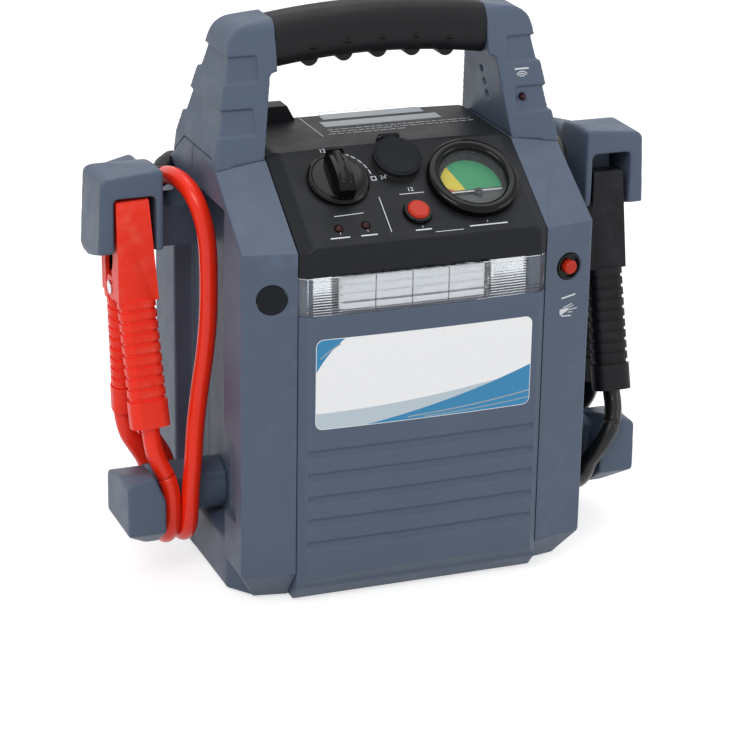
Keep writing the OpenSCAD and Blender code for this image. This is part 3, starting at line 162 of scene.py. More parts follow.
def plastic(name, colour, rough=(0.35, 0.45), grain=2200, depth=0.00004, strength=0.25, vary=0.05, cloud=14,
            specular=0.5, worn=None):
    """Moulded plastic: slight cloudiness in the colour, a moulded grain and a little rubbing on the edges."""
    mat, tree, bsdf = new_material(name)
    clouds = noise(tree, cloud, 4)
    tone = ramp(tree, clouds, [(0.3, shade(colour, 1 - vary)), (0.7, shade(colour, 1 + vary))])
    if worn:
        geometry = tree.nodes.new("ShaderNodeNewGeometry")
        edge = ramp(tree, geometry.outputs["Pointiness"], [(0.52, (0, 0, 0)), (0.62, (1, 1, 1))])
        patch = ramp(tree, noise(tree, 90, 4), [(0.45, (0, 0, 0)), (0.7, (0.55, 0.55, 0.55))])
        both = tree.nodes.new("ShaderNodeMath")
        both.operation = "MULTIPLY"
        tree.links.new(edge, both.inputs[0])
        tree.links.new(patch, both.inputs[1])
        mix = tree.nodes.new("ShaderNodeMix")
        mix.data_type = "RGBA"
        tree.links.new(both.outputs[0], mix.inputs["Factor"])
        tree.links.new(tone, mix.inputs["A"])
        mix.inputs["B"].default_value = (*worn, 1)
        tone = mix.outputs["Result"]
    tree.links.new(tone, bsdf.inputs["Base Color"])
    tree.links.new(spread(tree, noise(tree, 60, 5), *rough), bsdf.inputs["Roughness"])
    bsdf.inputs["Specular IOR Level"].default_value = specular
    bump(tree, bsdf, [(noise(tree, grain, 2), strength, depth), (noise(tree, 45, 2), 0.05, 0.0003)])
    return mat


def metal(name, colour, rough=(0.18, 0.32), scale=900):
    """Metal with fine lines in its gloss."""
    mat, tree, bsdf = new_material(name)
    tone = ramp(tree, noise(tree, 40, 4), [(0.3, shade(colour, 0.9)), (0.7, shade(colour, 1.06))])
    tree.links.new(tone, bsdf.inputs["Base Color"])
    bsdf.inputs["Metallic"].default_value = 1
    lines = noise(tree, scale, 3)
    tree.links.new(spread(tree, lines, *rough), bsdf.inputs["Roughness"])
    bump(tree, bsdf, [(lines, 0.15, 0.00002)])
    return mat


def clear(name, tint, rough=0.03, ior=1.49):
    """Solid clear plastic."""
    mat, tree, bsdf = new_material(name)
    bsdf.inputs["Base Color"].default_value = (*tint, 1)
    bsdf.inputs["Transmission Weight"].default_value = 1
    bsdf.inputs["IOR"].default_value = ior
    tree.links.new(spread(tree, noise(tree, 70, 3), rough, rough + 0.05), bsdf.inputs["Roughness"])
    bump(tree, bsdf, [(noise(tree, 160, 2), 0.04, 0.0001)])
    return mat


def pane(name):
    """A thin clear cover: nearly all of what lies behind it shows, under a faint gloss."""
    mat, tree, bsdf = new_material(name)
    bsdf.inputs["Base Color"].default_value = (0.3, 0.32, 0.34, 1)
    bsdf.inputs["Alpha"].default_value = 0.06
    tree.links.new(spread(tree, noise(tree, 70, 3), 0.04, 0.09), bsdf.inputs["Roughness"])
    bump(tree, bsdf, [(noise(tree, 160, 2), 0.01, 0.0001)])
    return mat


def ink(name, colour, rough=0.5):
    """Screen-printed ink, slightly uneven."""
    mat, tree, bsdf = new_material(name)
    tone = ramp(tree, noise(tree, 700, 3), [(0.25, shade(colour, 0.96)), (0.75, shade(colour, 1.02))])
    tree.links.new(tone, bsdf.inputs["Base Color"])
    tree.links.new(spread(tree, noise(tree, 500, 2), rough - 0.06, rough + 0.06), bsdf.inputs["Roughness"])
    return mat


SLATE = srgb("525E70")
SATIN = (0.42, 0.54)
M = {
    "shell": plastic("shell", SLATE, SATIN, specular=0.32, vary=0.035, worn=shade(SLATE, 1.5)),
    "slope": plastic("slope", shade(SLATE, 1.04), SATIN, specular=0.32, vary=0.035, worn=shade(SLATE, 1.5)),
    "coal": plastic("coal", srgb("16181C"), SATIN, specular=0.2, vary=0.04, worn=srgb("34373B")),
    "black": plastic("black", srgb("141518"), (0.38, 0.5), specular=0.2, worn=srgb("2B2D30")),
    "gloss": plastic("gloss", srgb("08090A"), (0.09, 0.15), grain=600, depth=0.00001, strength=0.08, vary=0.1,
                     specular=0.2),
    "ring": plastic("ring", srgb("060708"), (0.07, 0.13), grain=900, strength=0.03, vary=0.06, specular=0.2),
    "cap": plastic("cap", srgb("171A1F"), (0.5, 0.62), specular=0.14, vary=0.05),
    "button": plastic("button", srgb("BE2C14"), (0.25, 0.34), grain=900, strength=0.15, vary=0.03,
                      specular=0.25),
    "red": plastic("red", srgb("FF3824"), (0.34, 0.44), grain=1500, strength=0.2, vary=0.01, cloud=30,
                   specular=0.2, worn=srgb("FF6A55")),
    "red_lead": plastic("red_lead", srgb("FF3014"), (0.22, 0.28), grain=1200, strength=0.04, vary=0.02,
                        cloud=40, specular=0.34),
    "black_lead": plastic("black_lead", srgb("101113"), (0.28, 0.38), grain=1200, strength=0.12, vary=0.1,
                          cloud=40, specular=0.34),
    "rubber": plastic("rubber", srgb("1B1C1E"), (0.62, 0.78), grain=1800, strength=0.45, depth=0.00008,
                      vary=0.06, specular=0.25),
    "grip": plastic("grip", srgb("17181A"), (0.46, 0.6), grain=1500, strength=0.45, depth=0.00008, vary=0.05,
                    specular=0.22),
    "steel": metal("steel", (0.62, 0.63, 0.65)),
    "nickel": metal("nickel", (0.72, 0.66, 0.52), (0.12, 0.25)),
    "copper": metal("copper", (0.83, 0.45, 0.28), (0.22, 0.4)),
    "silvered": metal("silvered", (0.93, 0.94, 0.95), (0.04, 0.12), scale=200),
    "clear": clear("clear", (0.94, 0.96, 0.98)),
    "window": pane("window"),
    # pale sheets behind the lens: painted brightness for the light the reflector throws back
    "reflector_glare_white": plastic("reflector_glare_white", srgb("EEF0F2"), (0.18, 0.3), grain=400, strength=0.1, vary=0.03, specular=0.6),
    "board": plastic("board", srgb("1E5B38"), (0.3, 0.45), grain=500, vary=0.1),
    "battery": plastic("battery", srgb("26282B"), (0.45, 0.6), vary=0.06),
    "white": ink("white", srgb("D9DCDF")),
    "sticker": ink("sticker", srgb("FBFBFB"), 0.36),
    "pale": ink("pale", srgb("A3A9AE")),
    "blue": ink("blue", srgb("2A86B6"), 0.36),
    "stripe_grey": ink("stripe_grey", srgb("9AA7B0"), 0.36),
    "sweep": ink("sweep", srgb("C3D0D8"), 0.36),
    "yellow": ink("yellow", srgb("DDCB2E")),
    "green": ink("green", srgb("12935A")),
    "red_ink": ink("red_ink", srgb("A83A30")),
    "dial_grey": ink("dial_grey", srgb("36393A"), 0.45),
    "dial_dark": ink("dial_dark", srgb("151718"), 0.5),
    "lamp_dark": plastic("lamp_dark", srgb("35090A"), (0.12, 0.2), grain=800, vary=0.08, specular=0.25),
}


# ------------------------------------------------------------------ dressing a CAD node

def paint(obj, mat):
    obj.data.materials.clear()
    obj.data.materials.append(mat)


def mesh_of(bm, name, facing=False):
    """A mesh from a working mesh, with its faces turned outwards where asked."""
    if facing:
        bmesh.ops.recalc_face_normals(bm, faces=bm.faces)
    me = bpy.data.meshes.new(name)
    bm.to_mesh(me)
    bm.free()
    return me


def clean_copy(node, name):
    """A welded copy of a node's mesh with its flat faces merged."""
    me = NODES[node].data.copy()
    me.name = name
    if me.attributes.get("custom_normal"):
        me.attributes.remove(me.attributes["custom_normal"])
    bm = bmesh.new()
    bm.from_mesh(me)
    bmesh.ops.remove_doubles(bm, verts=bm.verts, dist=2e-6)
    bmesh.ops.dissolve_limit(bm, angle_limit=math.radians(0.25), verts=bm.verts, edges=bm.edges)
    bm.to_mesh(me)
    bm.free()
    return me


def add_piece(name, me, body, mat, smooth=30):
    for poly in me.polygons:
        poly.use_smooth = True
    if smooth:
        me.set_sharp_from_angle(angle=math.radians(smooth))
    obj = bpy.data.objects.new(name, me)
    scene.collection.objects.link(obj)
    if mat:
        paint(obj, mat)
    if body:
        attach(obj, body)
    return obj


SEAMS = [(0, 85.6), (0, -85.6), (1, 4.0), (1, 10.0)]    # axis and place, in mm
SHARED, ALONE = 0.45, 0.85      # share of a gap that one rounded edge takes, beside another or by itself
SMALLEST, TAPER = 0.12, 0.35    # least rounding in mm, and how fast it may change along an edge
CREASE, SOFT_CREASE = 32, 21    # least turn in degrees that is rounded, finely and softly


def on_seam(a, b):
    """Both ends of an edge lie on a plane where two mouldings meet."""
    return any(abs(a[k] / MM - at) < 0.8 and abs(b[k] / MM - at) < 0.8 for k, at in SEAMS)


def room(edge, chosen):
    """How wide an edge can be rounded, in metres, before its band meets others of its faces' corners."""
    a, b = (v.co for v in edge.verts)
    along = (b - a).normalized()
    length, best = (b - a).length, 1.0
    for face in edge.link_faces:
        normal = face.normal
        for loop in face.loops:
            v, other = loop.vert, loop.edge
            if v not in edge.verts:
                d = v.co - a
                t = d.dot(along)
                off = (d - along * t).length
                outside = max(-t, t - length, 0)
                share = SHARED if any(e in chosen for e in v.link_edges) else ALONE
                best = min(best, share * math.hypot(off, outside) if off > outside * 0.5 else 1.0)
            if other is edge or not (set(other.verts) & set(edge.verts)):
                continue
            shared = (set(other.verts) & set(edge.verts)).pop()
            out = other.other_vert(shared).co - shared.co
            back = (edge.other_vert(shared).co - shared.co).normalized()
            cos = max(-1.0, min(1.0, out.normalized().dot(back)))
            sin = math.sqrt(1 - cos * cos)
            if other in chosen:
                half = math.sqrt(max(0.0, (1 + cos) / 2)) / math.sqrt(max(1e-6, (1 - cos) / 2))
                best = min(best, SHARED * out.length / max(half, 0.05))
            else:
                best = min(best, ALONE * out.length * max(sin, 0.03))
    return best


def dress(node, mat, width, soft):
    """Replaces a node with a copy with rounded edges: outer creases by soft, others by width, in mm."""
    me = clean_copy(node, node + "_form")
    if soft:
        bm = bmesh.new()
        bm.from_mesh(me)
        bm.normal_update()
        weight = bm.edges.layers.float.new("bevel_weight_edge")
        chosen = {}
        for edge in bm.edges:
            if len(edge.link_faces) != 2 or not edge.is_convex:
                continue
            turn = math.degrees(edge.calc_face_angle())
            a, b = (v.co for v in edge.verts)
            if turn > SOFT_CREASE and not on_seam(a, b):
                chosen[edge] = soft * MM
            elif turn > CREASE:
                chosen[edge] = width * MM
        for _ in range(3):
            sizes = {edge: min(size, room(edge, chosen)) for edge, size in chosen.items()}
            chosen = {edge: size for edge, size in sizes.items() if size > SMALLEST * MM}
        for _ in range(12):
            for edge, size in list(chosen.items()):
                for v in edge.verts:
                    for other in v.link_edges:
                        if other is not edge and other in chosen:
                            chosen[edge] = min(chosen[edge], chosen[other] + TAPER * edge.calc_length())
        for edge, size in chosen.items():
            edge[weight] = size / (soft * MM)
        bm.to_mesh(me)
        bm.free()
    obj = add_piece(node + "_form", me, BODY[node], mat, 30)
    bevel = obj.modifiers.new("edge", "BEVEL")
    bevel.width = (soft or width) * MM
    bevel.segments = 4 if soft else 2
    bevel.limit_method = "WEIGHT" if soft else "ANGLE"
    bevel.angle_limit = math.radians(CREASE)
    bevel.use_clamp_overlap = not soft
    bevel.harden_normals = True
    bevel.miter_outer = "MITER_ARC"
    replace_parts(obj, node)


def mould(node, mat, grain, rounds, keep=1.0):
    """Replaces a node with a remade copy whose every edge and inner corner is softly rounded."""
    me = clean_copy(node, node + "_form")
    bm = bmesh.new()
    bm.from_mesh(me)
    bmesh.ops.triangulate(bm, faces=bm.faces)
    bm.to_mesh(me)
    bm.free()
    obj = add_piece(node + "_form", me, BODY[node], mat, 0)
    remesh = obj.modifiers.new("grain", "REMESH")
    remesh.mode = "VOXEL"
    remesh.voxel_size = grain * MM
    remesh.use_smooth_shade = True
    smooth = obj.modifiers.new("round", "SMOOTH")
    smooth.factor = 0.5
    smooth.iterations = rounds
    if keep < 1:
        thin = obj.modifiers.new("thin", "DECIMATE")
        thin.ratio = keep
    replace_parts(obj, node)


# ------------------------------------------------------------------ leads

def flip(points):
    return [(-x, y, z) for x, y, z in points]


def in_dock(p, at, tilt, pitch, y, drop):
    """A point of a clamp, given at its own pivot, set into its dock."""
    t, c = math.radians(tilt), math.radians(pitch)
    h = p[2] - 50
    q = (p[0], p[1] * math.cos(c) + h * math.sin(c), h * math.cos(c) - p[1] * math.sin(c))
    x = at + q[0] * math.cos(t) + q[2] * math.sin(t)
    return (x, y + q[1], 200 - drop + 50 + q[2] * math.cos(t) - q[0] * math.sin(t))


RED_AT = (169, 3, 0, 0, 0)
BLACK_AT = (166.5, 0, 5.5, -1.2, 12)
FRONT_A, REAR_A = math.radians(-9.4), math.radians(4.5)


def front_axis(s):
    return (0, -13.4 + s * math.sin(FRONT_A), -5.5 - s * math.cos(FRONT_A))


def rear_axis(s, x):
    return (x, 10.6 + s * math.sin(REAR_A), -10 - s * math.cos(REAR_A))


LEAD_D = 12.0
CABLE_R = LEAD_D / 2 - 0.02     # a hair under, so that it stays clear of its bore
CORD_X = 6.1
GLAND_TIP = (129.38, 50.56, 256.5)
START = [
    GLAND_TIP, (131.8, 47.4, 256.5), (133.6, 43.6, 257.1), (134.6, 38, 258.8), (134.9, 28, 262.5),
    (134.8, 14.5, 266.8), (134, 2, 269), (132.5, -8, 268.5), (130, -17.5, 265), (127, -25, 256.5),
    (124.5, -28.5, 246),
    (122.5, -29.5, 232), (121.3, -28.5, 208), (121.3, -27, 182), (123.5, -26.5, 156), (127.5, -27, 130),
    (131.6, -30.5, 106), (134.6, -34.6, 84), (136.8, -36.4, 67),
]
TURN = [(-36, 50.5), (-32.8, 38.5), (-24, 29.7), (-12, 26.5), (0, 29.7), (8.8, 38.5), (12, 50.5)]
RED_END = [(138.4, 13.2, 63), (141.2, 14.6, 72), (146, 16.1, 80.5), (150.8, 17, 88.5)]
RED_LINK = [(160, -31.5, 92.5), (157.2, -33.3, 84.5), (153.2, -35, 75.5), (150.4, -36, 64)]
RED_LINK_END = [(151.2, 12.8, 62), (154.6, 13.6, 71.5), (159.8, 14.6, 80.5), (164.4, 16, 89)]
BLACK_END = [
    (137.5, 0, 29.7), (137.7, 8.6, 38), (138.8, 13, 48), (141.8, 14.2, 57.6), (146.6, 13.2, 65.6),
    (151.6, 10.4, 72), (156, 6.8, 77.8), (159, 3.6, 84),
]
BLACK_LINK = [
    (166.4, -45, 93.6), (164.6, -50.2, 87.2), (161.6, -54.6, 81), (157.8, -56.4, 74.4), (153.8, -56, 67.4),
    (150.4, -53.6, 60), (148.8, -49.4, 53), (148.2, -44, 43), (148.6, -37, 35.4), (149.2, -29, 30),
    (149.8, -20.6, 27.2), (150, -12, 26.5),
]
BLACK_LINK_END = [
    (150, -3, 28.2), (150.8, 5, 33.2), (152.6, 11.6, 40.4), (156.6, 15.2, 48.6), (162.4, 16, 57),
    (168, 13.8, 65.4), (171.4, 10, 73), (172.6, 6.4, 80),
]


def fine(points, step=2.5):
    """A smooth curve through the route's points, in short steps."""
    pts = [Vector(p) for p in points]
    pts = [pts[0] * 2 - pts[1]] + pts + [pts[-1] * 2 - pts[-2]]
    out = []
    for k in range(1, len(pts) - 2):
        a, b, c, d = pts[k - 1:k + 3]
        ta, tb, tc = (b - a).length ** 0.5, (c - b).length ** 0.5, (d - c).length ** 0.5
        m1 = (c - b) + tb * ((b - a) / ta - (c - a) / (ta + tb))
        m2 = (c - b) + tb * ((d - c) / tc - (d - b) / (tb + tc))
        count = max(2, round((c - b).length / step))
        for i in range(count):
            t = i / count
            out.append((2 * t**3 - 3 * t**2 + 1) * b + (t**3 - 2 * t**2 + t) * m1
                       + (-2 * t**3 + 3 * t**2) * c + (t**3 - t**2) * m2)
    out.append(pts[-2])
    return out


CABLE_SIDES = 24


def tube(name, points, radius, sides=CABLE_SIDES):
    """A closed tube of quads along the points, with frames carried along so that it never twists."""
    bm = bmesh.new()
    n = len(points)
    tangents = [(points[min(k + 1, n - 1)] - points[max(k - 1, 0)]).normalized() for k in range(n)]
    side = tangents[0].orthogonal().normalized()
    rings = []
    for k in range(n):
        side = (side - side.dot(tangents[k]) * tangents[k]).normalized()
        other = tangents[k].cross(side)
        r = radius(k) if callable(radius) else radius
        turns = [2 * math.pi * j / sides for j in range(sides)]
        rings.append([bm.verts.new((points[k] + r * (math.cos(a) * side + math.sin(a) * other)) * MM)
                      for a in turns])
    for a, b in zip(rings, rings[1:]):
        for j in range(sides):
            bm.faces.new((a[j], a[(j + 1) % sides], b[(j + 1) % sides], b[j]))
    bm.faces.new(list(reversed(rings[0])))
    bm.faces.new(rings[-1])
    return mesh_of(bm, name)


def make_lead(colour, points):
    """A clamp's lead from its gland: a tube along its route from start on the housing to end on the clamp."""
    path = fine(points)
    name = colour + "_lead_run"
    piece = add_piece(name, tube(name, path, CABLE_R), None, M[colour + "_lead"], 0)
    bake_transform(piece)
    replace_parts(piece, colour + "_lead")


def split_link(colour, whole):
    """The link cable in two pieces that meet: one at the front handle, one that hangs in the hook."""
    path = fine(whole)
    parting = Vector(whole[4])
    cut = min(range(len(path)), key=lambda k: (path[k] - parting).length)
    mat = M[colour + "_lead"]
    full = tube(colour + "_link", path, CABLE_R)
    parts = []
    for first, last in ((0, cut), (cut, len(path) - 1)):
        bm = bmesh.new()
        bm.from_mesh(full)
        bm.verts.ensure_lookup_table()
        keep = set(range(first * CABLE_SIDES, (last + 1) * CABLE_SIDES))
        bmesh.ops.delete(bm, geom=[v for v in bm.verts if v.index not in keep], context="VERTS")
        bmesh.ops.holes_fill(bm, edges=[e for e in bm.edges if e.is_boundary])
        parts.append(mesh_of(bm, colour + "_link_piece"))
    head = add_piece(colour + "_link_head", parts[0], None, mat, 0)
    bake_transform(head)
    piece = add_piece(colour + "_link_run", parts[1], None, mat, 0)
    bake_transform(piece)
    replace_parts(piece, colour + "_link_cable")


def make_leads():
    turn = [(137.5, y, z) for y, z in TURN]
    link_turn = [(150, y, z) for y, z in TURN]

    def ends(dock, x):
        """Where a cord enters the rear handle of a clamp, and where it ends inside."""
        return [in_dock(p, *dock) for p in (rear_axis(87, x), rear_axis(78, x))]

    def starts(dock):
        """The same for the front handle, from the inside out."""
        return [in_dock(p, *dock) for p in (front_axis(80), front_axis(89))]

    make_lead("red", flip(START + turn + RED_END + ends(RED_AT, -CORD_X)))
    make_lead("black", START + turn[:4] + BLACK_END + ends(BLACK_AT, -CORD_X))
    split_link("red", flip(starts(RED_AT) + RED_LINK + link_turn + RED_LINK_END + ends(RED_AT, CORD_X)))
    split_link("black", starts(BLACK_AT) + BLACK_LINK + BLACK_LINK_END + ends(BLACK_AT, CORD_X))


make_leads()


# ------------------------------------------------------------------ finishes of the CAD nodes

# material, radius of the fine edges and of the soft outer creases, in mm
FINISH = {
    "left_side_shell": ("shell", 0.5, 2.4), "right_side_shell": ("shell", 0.5, 2.4),
    "base_plate": ("coal", 0.4, 0), "rubber_feet": ("rubber", 0.5, 0), "control_panel": ("coal", 0.5, 2.2),
    "light_board": ("board", 0.2, 0), "work_light_reflector": ("silvered", 0.3, 0),
    "handle_bar": ("steel", 0.4, 0), "handle_grip": ("grip", 0.9, 0), "rear_lug": ("coal", 0.8, 0),
    "lead_glands": ("black", 0.4, 0), "housing_screws": ("steel", 0.15, 0),
    "battery_front": ("battery", 0.8, 0), "battery_rear": ("battery", 0.8, 0),
    "battery_bracket": ("steel", 0.4, 0), "control_board": ("board", 0.2, 0), "buzzer": ("gloss", 0.3, 0),
    "selector_bezel": ("gloss", 0.4, 0), "selector_knob": ("gloss", 1.0, 0),
    "selector_switch": ("battery", 0.4, 0), "socket_barrel": ("nickel", 0.3, 0),
    "socket_cap": ("cap", 0.9, 0), "cap_hinge_pin": ("steel", 0.15, 0), "meter_body": ("battery", 0.4, 0),
    "meter_dial": ("dial_grey", 0, 0), "meter_needle": ("gloss", 0, 0), "meter_lens": ("window", 0.2, 0),
    "test_button": ("button", 0.6, 0), "test_switch": ("gloss", 0.5, 0), "light_button": ("button", 0.5, 0),
    "light_switch": ("gloss", 0.4, 0), "indicator_lamps": ("lamp_dark", 0, 0),
    "charge_jack": ("nickel", 0.2, 0), "charge_jack_cap": ("cap", 0.5, 0), "red_front_arm": ("red", 0.7, 0),
    "red_rear_arm": ("red", 0.7, 0), "black_front_arm": ("black", 0.7, 0),
    "black_rear_arm": ("black", 0.7, 0), "red_front_jaw": ("copper", 0.2, 0),
    "red_rear_jaw": ("copper", 0.2, 0), "black_front_jaw": ("copper", 0.2, 0),
    "black_rear_jaw": ("copper", 0.2, 0), "red_pivot_pin": ("steel", 0.2, 0),
    "black_pivot_pin": ("steel", 0.2, 0), "red_spring": ("steel", 0, 0), "black_spring": ("steel", 0, 0),
}
for node_name, (finish, edge, soft_edge) in FINISH.items():
    if edge:
        dress(node_name, M[finish], edge, soft_edge)
    else:
        paint(NODES[node_name], M[finish])
for node_name in ("left_dock", "right_dock", "left_hook", "right_hook"):
    mould(node_name, M["slope"], 0.8, 16)
for node_name in ("left_post", "right_post"):
    mould(node_name, M["slope"], 0.8, 4, 0.5)
mould("front_panel", M["shell"], 0.8, 3, 0.4)
mould("rear_shell", M["shell"], 1.0, 6, 0.3)


# ------------------------------------------------------------------ places on the housing

HALF_D, SHOULDER_Z, PANEL_HW = 100.0, 243.6, 85.6
SLOPE_A = math.atan2(43.7, 63.1)
SWEEP_A = math.atan2(6.5, 35.2)
FACE_W = 5.0
PROUD, BOW = 4.6, 2.0
LENS_Z0, LENS_Z1 = 202.2, 226.8
BUMP_PITCH = 23.7


def frame_at(origin, x, y, z):
    """A frame in mm: its three directions and its origin."""
    return Matrix.Translation(origin) @ Matrix((x, y, z)).transposed().to_4x4()


def slope_frame(u=0.0, v=0.0, w=0.0):
    """On the control face: u to the right, v up the slope, w out of it."""
    s, c = math.sin(SLOPE_A), math.cos(SLOPE_A)
    at = (u, -HALF_D + v * c - w * s, SHOULDER_Z + v * s + w * c)
    return frame_at(at, (1, 0, 0), (0, c, s), (0, -s, c))


def strip_frame(x, z):
    """On the right strip's front face: along it, up, and out of it."""
    s, c = math.sin(SWEEP_A), math.cos(SWEEP_A)
    at = (x - PANEL_HW) / c
    return frame_at((PANEL_HW + at * c, -HALF_D + at * s, z), (c, s, 0), (0, 0, 1), (s, -c, 0))


def front_y(x):
    """The front panel's face at x, which is bowed in ten flats."""
    face = PANEL_HW - 5.6
    k = min(4, int(abs(x) / face * 5))
    t = abs(x) / face * 5 - k
    bow = (1 - t) * (1 - (k / 5) ** 2) + t * (1 - ((k + 1) / 5) ** 2)
    return -HALF_D - PROUD - BOW * bow


def solid(name, outlines, place, low, high, mat, body="housing"):
    """Flat outlines in mm, made into thin closed solids from low to high over the frame called place."""
    bm = bmesh.new()
    for points in outlines:
        lower = [Vector((x, y, low)) for x, y in points]
        upper = [Vector((x, y, high)) for x, y in points]
        rings = [[bm.verts.new((place @ p) * MM) for p in ring] for ring in (lower, upper)]
        count = len(points)
        for k in range(count):
            j = (k + 1) % count
            bm.faces.new((rings[0][k], rings[0][j], rings[1][j], rings[1][k]))
        bm.faces.new(list(reversed(rings[0])))
        bm.faces.new(rings[1])
    me = mesh_of(bm, name, facing=True)
    return add_piece(name, me, body, mat, 20)


def bar(u0, v0, u1, v1, width):
    """Outline of a straight bar between two points."""
    a, b = Vector((u0, v0)), Vector((u1, v1))
    side = (b - a).normalized().orthogonal() * width / 2
    return [tuple(p) for p in (a + side, a - side, b - side, b + side)]


def box(u, v, width, height):
    return [(u - width / 2, v - height / 2), (u + width / 2, v - height / 2),
            (u + width / 2, v + height / 2), (u - width / 2, v + height / 2)]


def ring_part(u, v, r0, r1, a0, a1, steps=24):
    """Outline of a part of a ring between two angles."""
    turn = [math.radians(a0 + (a1 - a0) * k / steps) for k in range(steps + 1)]
    return ([(u + r1 * math.cos(a), v + r1 * math.sin(a)) for a in turn]
            + [(u + r0 * math.cos(a), v + r0 * math.sin(a)) for a in reversed(turn)])


def letters(name, text, place, size, mat):
    """A plain numeral as a thin solid."""
    data = bpy.data.curves.new(name, "FONT")
    data.body = text
    data.size = size
    data.align_x = "CENTER"
    data.align_y = "CENTER"
    data.extrude = 0.05
    data.resolution_u = 3
    obj = bpy.data.objects.new(name + "_source", data)
    scene.collection.objects.link(obj)
    me = bpy.data.meshes.new_from_object(obj)
    bpy.data.objects.remove(obj)
    me.name = name
    me.transform(Matrix.Scale(MM, 4) @ place @ Matrix.Translation((0, 0, 0.05)))
    return add_piece(name, me, "housing", mat, 20)


def lathe(name, profile, place, mat, body="housing", sides=96, replaces=None):
    """A profile of (radius, height) points turned about the frame's own third axis."""
    bm = bmesh.new()
    rings = []
    for r, h in profile:
        rings.append([bm.verts.new((place @ Vector((r * math.cos(2 * math.pi * k / sides),
                                                     r * math.sin(2 * math.pi * k / sides), h))) * MM)
                      for k in range(sides)])
    for a, b in zip(rings, rings[1:] + rings[:1]):
        for k in range(sides):
            bm.faces.new((a[k], a[(k + 1) % sides], b[(k + 1) % sides], b[k]))
    me = mesh_of(bm, name, facing=True)
    obj = add_piece(name, me, body, mat, 40)
    if replaces:
        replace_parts(obj, replaces)
    return obj


# ------------------------------------------------------------------ control face

KNOB, METER, TEST = (-45.5, 50), (44, 40.5), (-0.5, 19)
PRINT = 0.12                    # thickness of a printed mark


def control_marks():
    face = slope_frame(0, 0, FACE_W)
    marks = [box(KNOB[0] + 4.2, KNOB[1] + 22.6, 3.4, 2.6)]
    marks += [ring_part(*KNOB, 23.6, 24.2, a, a + 9, 4) for a in range(8, 72, 12)]
    u, v = KNOB[0] + 24.4, KNOB[1] - 0.5
    marks += [bar(u - 1.7, v + s * 1.5, u + 1.7, v + s * 1.5, 0.5) for s in (-1, 1)]
    marks += [bar(u + s * 1.5, v - 1.3, u + s * 1.5, v + 1.3, 0.5) for s in (-1, 1)]
    marks.append(bar(-22.2, 5.9, -22.2, 34.3, 0.5))
    marks.append(bar(-56.2, 22.2, -36.1, 23, 0.5))
    marks.append(bar(-8, 34.7, 9, 34.7, 0.5))
    marks.append(bar(6.9, 2.4, 26, 2.4, 0.4))
    for lamp_u in (-56, -37.5):
        marks.append(bar(lamp_u, 9.3, lamp_u, 7.9, 0.35))
    marks.append(bar(TEST[0], 8.2, TEST[0], 6.8, 0.35))
    marks.append(bar(METER[0], 7.6, METER[0], 6.2, 0.35))
    for u, width in ((-57, 13), (-37.5, 11), (-0.5, 11), (44, 26)):
        marks.append(box(u, 5.2 if u < 40 else 4.2, width, 0.9))
    solid("panel_marks", marks, face, -0.05, PRINT, M["white"])
    letters("mark_12", "12", slope_frame(-48.6, 75.2, FACE_W), 4.6, M["white"])
    letters("mark_24", "24", slope_frame(-14.6, 49.6, FACE_W), 4.2, M["white"])
    letters("mark_socket", "12", slope_frame(0.5, 37.9, FACE_W), 4.4, M["white"])


def meter_face():
    """A plain three-colour scale over a dark lower half, with a white line between them."""
    face = slope_frame(*METER, 2.0)
    r, mid, base = 20.6, -1.8, -6.0

    def piece(left, right):
        """The part of the scale between two slanted edges, each (x at the line, x at the top)."""
        rim = [math.radians(a) for a in range(-18, 200, 3)]
        points = [(r * math.cos(a), mid + r * math.sin(a)) for a in rim]
        points = [(x, y) for x, y in points if y >= base]
        height = 2 * r

        def side(edge, x, y):
            return x - (edge[0] + (edge[1] - edge[0]) * (y - base) / height)

        def clipped(poly, edge, keep):
            out = []
            for (x0, y0), (x1, y1) in zip(poly, poly[1:] + poly[:1]):
                d0, d1 = side(edge, x0, y0) * keep, side(edge, x1, y1) * keep
                if d0 >= 0:
                    out.append((x0, y0))
                if d0 * d1 < 0:
                    t = d0 / (d0 - d1)
                    out.append((x0 + (x1 - x0) * t, y0 + (y1 - y0) * t))
            return out

        return clipped(clipped(points, left, 1), right, -1)

    solid("scale_dark", [ring_part(0, 0, 0.01, 23.5, -14.6, 194.6, 48)], face, 0.0, 0.10, M["dial_dark"])
    solid("scale_yellow", [piece((-40, -40), (-4.7, -20.5))], face, 0.02, 0.22, M["yellow"])
    solid("scale_green", [piece((-4.7, -20.5), (40, 40))], face, 0.02, 0.22, M["green"])
    low_end = [(-20.0, base), (-12.0, base), (-15.0, base + 2.6), (-20.2, base + 3.6)]
    solid("scale_red", [low_end], face, 0.03, 0.30, M["red_ink"])
    solid("scale_line", [box(0, base - 0.5, 40, 1.0)], face, 0.02, 0.26, M["white"])


def meter_ring():
    """The thick glossy ring: a round roll that falls to the window's edge and to the panel."""
    inner, outer = 22.6, 30.5
    profile = [(inner, 0.2), (inner, 1.9), (inner + 1.3, 2.1), (inner + 1.3, 3.9), (inner, 4.1), (inner, 4.4)]
    roll_r, mid, top = 3.9, inner + 3.9, 6.7
    profile += [(mid - roll_r * math.cos(math.radians(a)), 4.4 + (top - 4.4) * math.sin(math.radians(a)))
                for a in range(10, 180, 10)]
    profile += [(outer - 0.05, 3.4), (outer, 1.6), (outer, 0.2)]
    lathe("meter_ring", profile, slope_frame(*METER, FACE_W), M["ring"], replaces="meter_bezel")


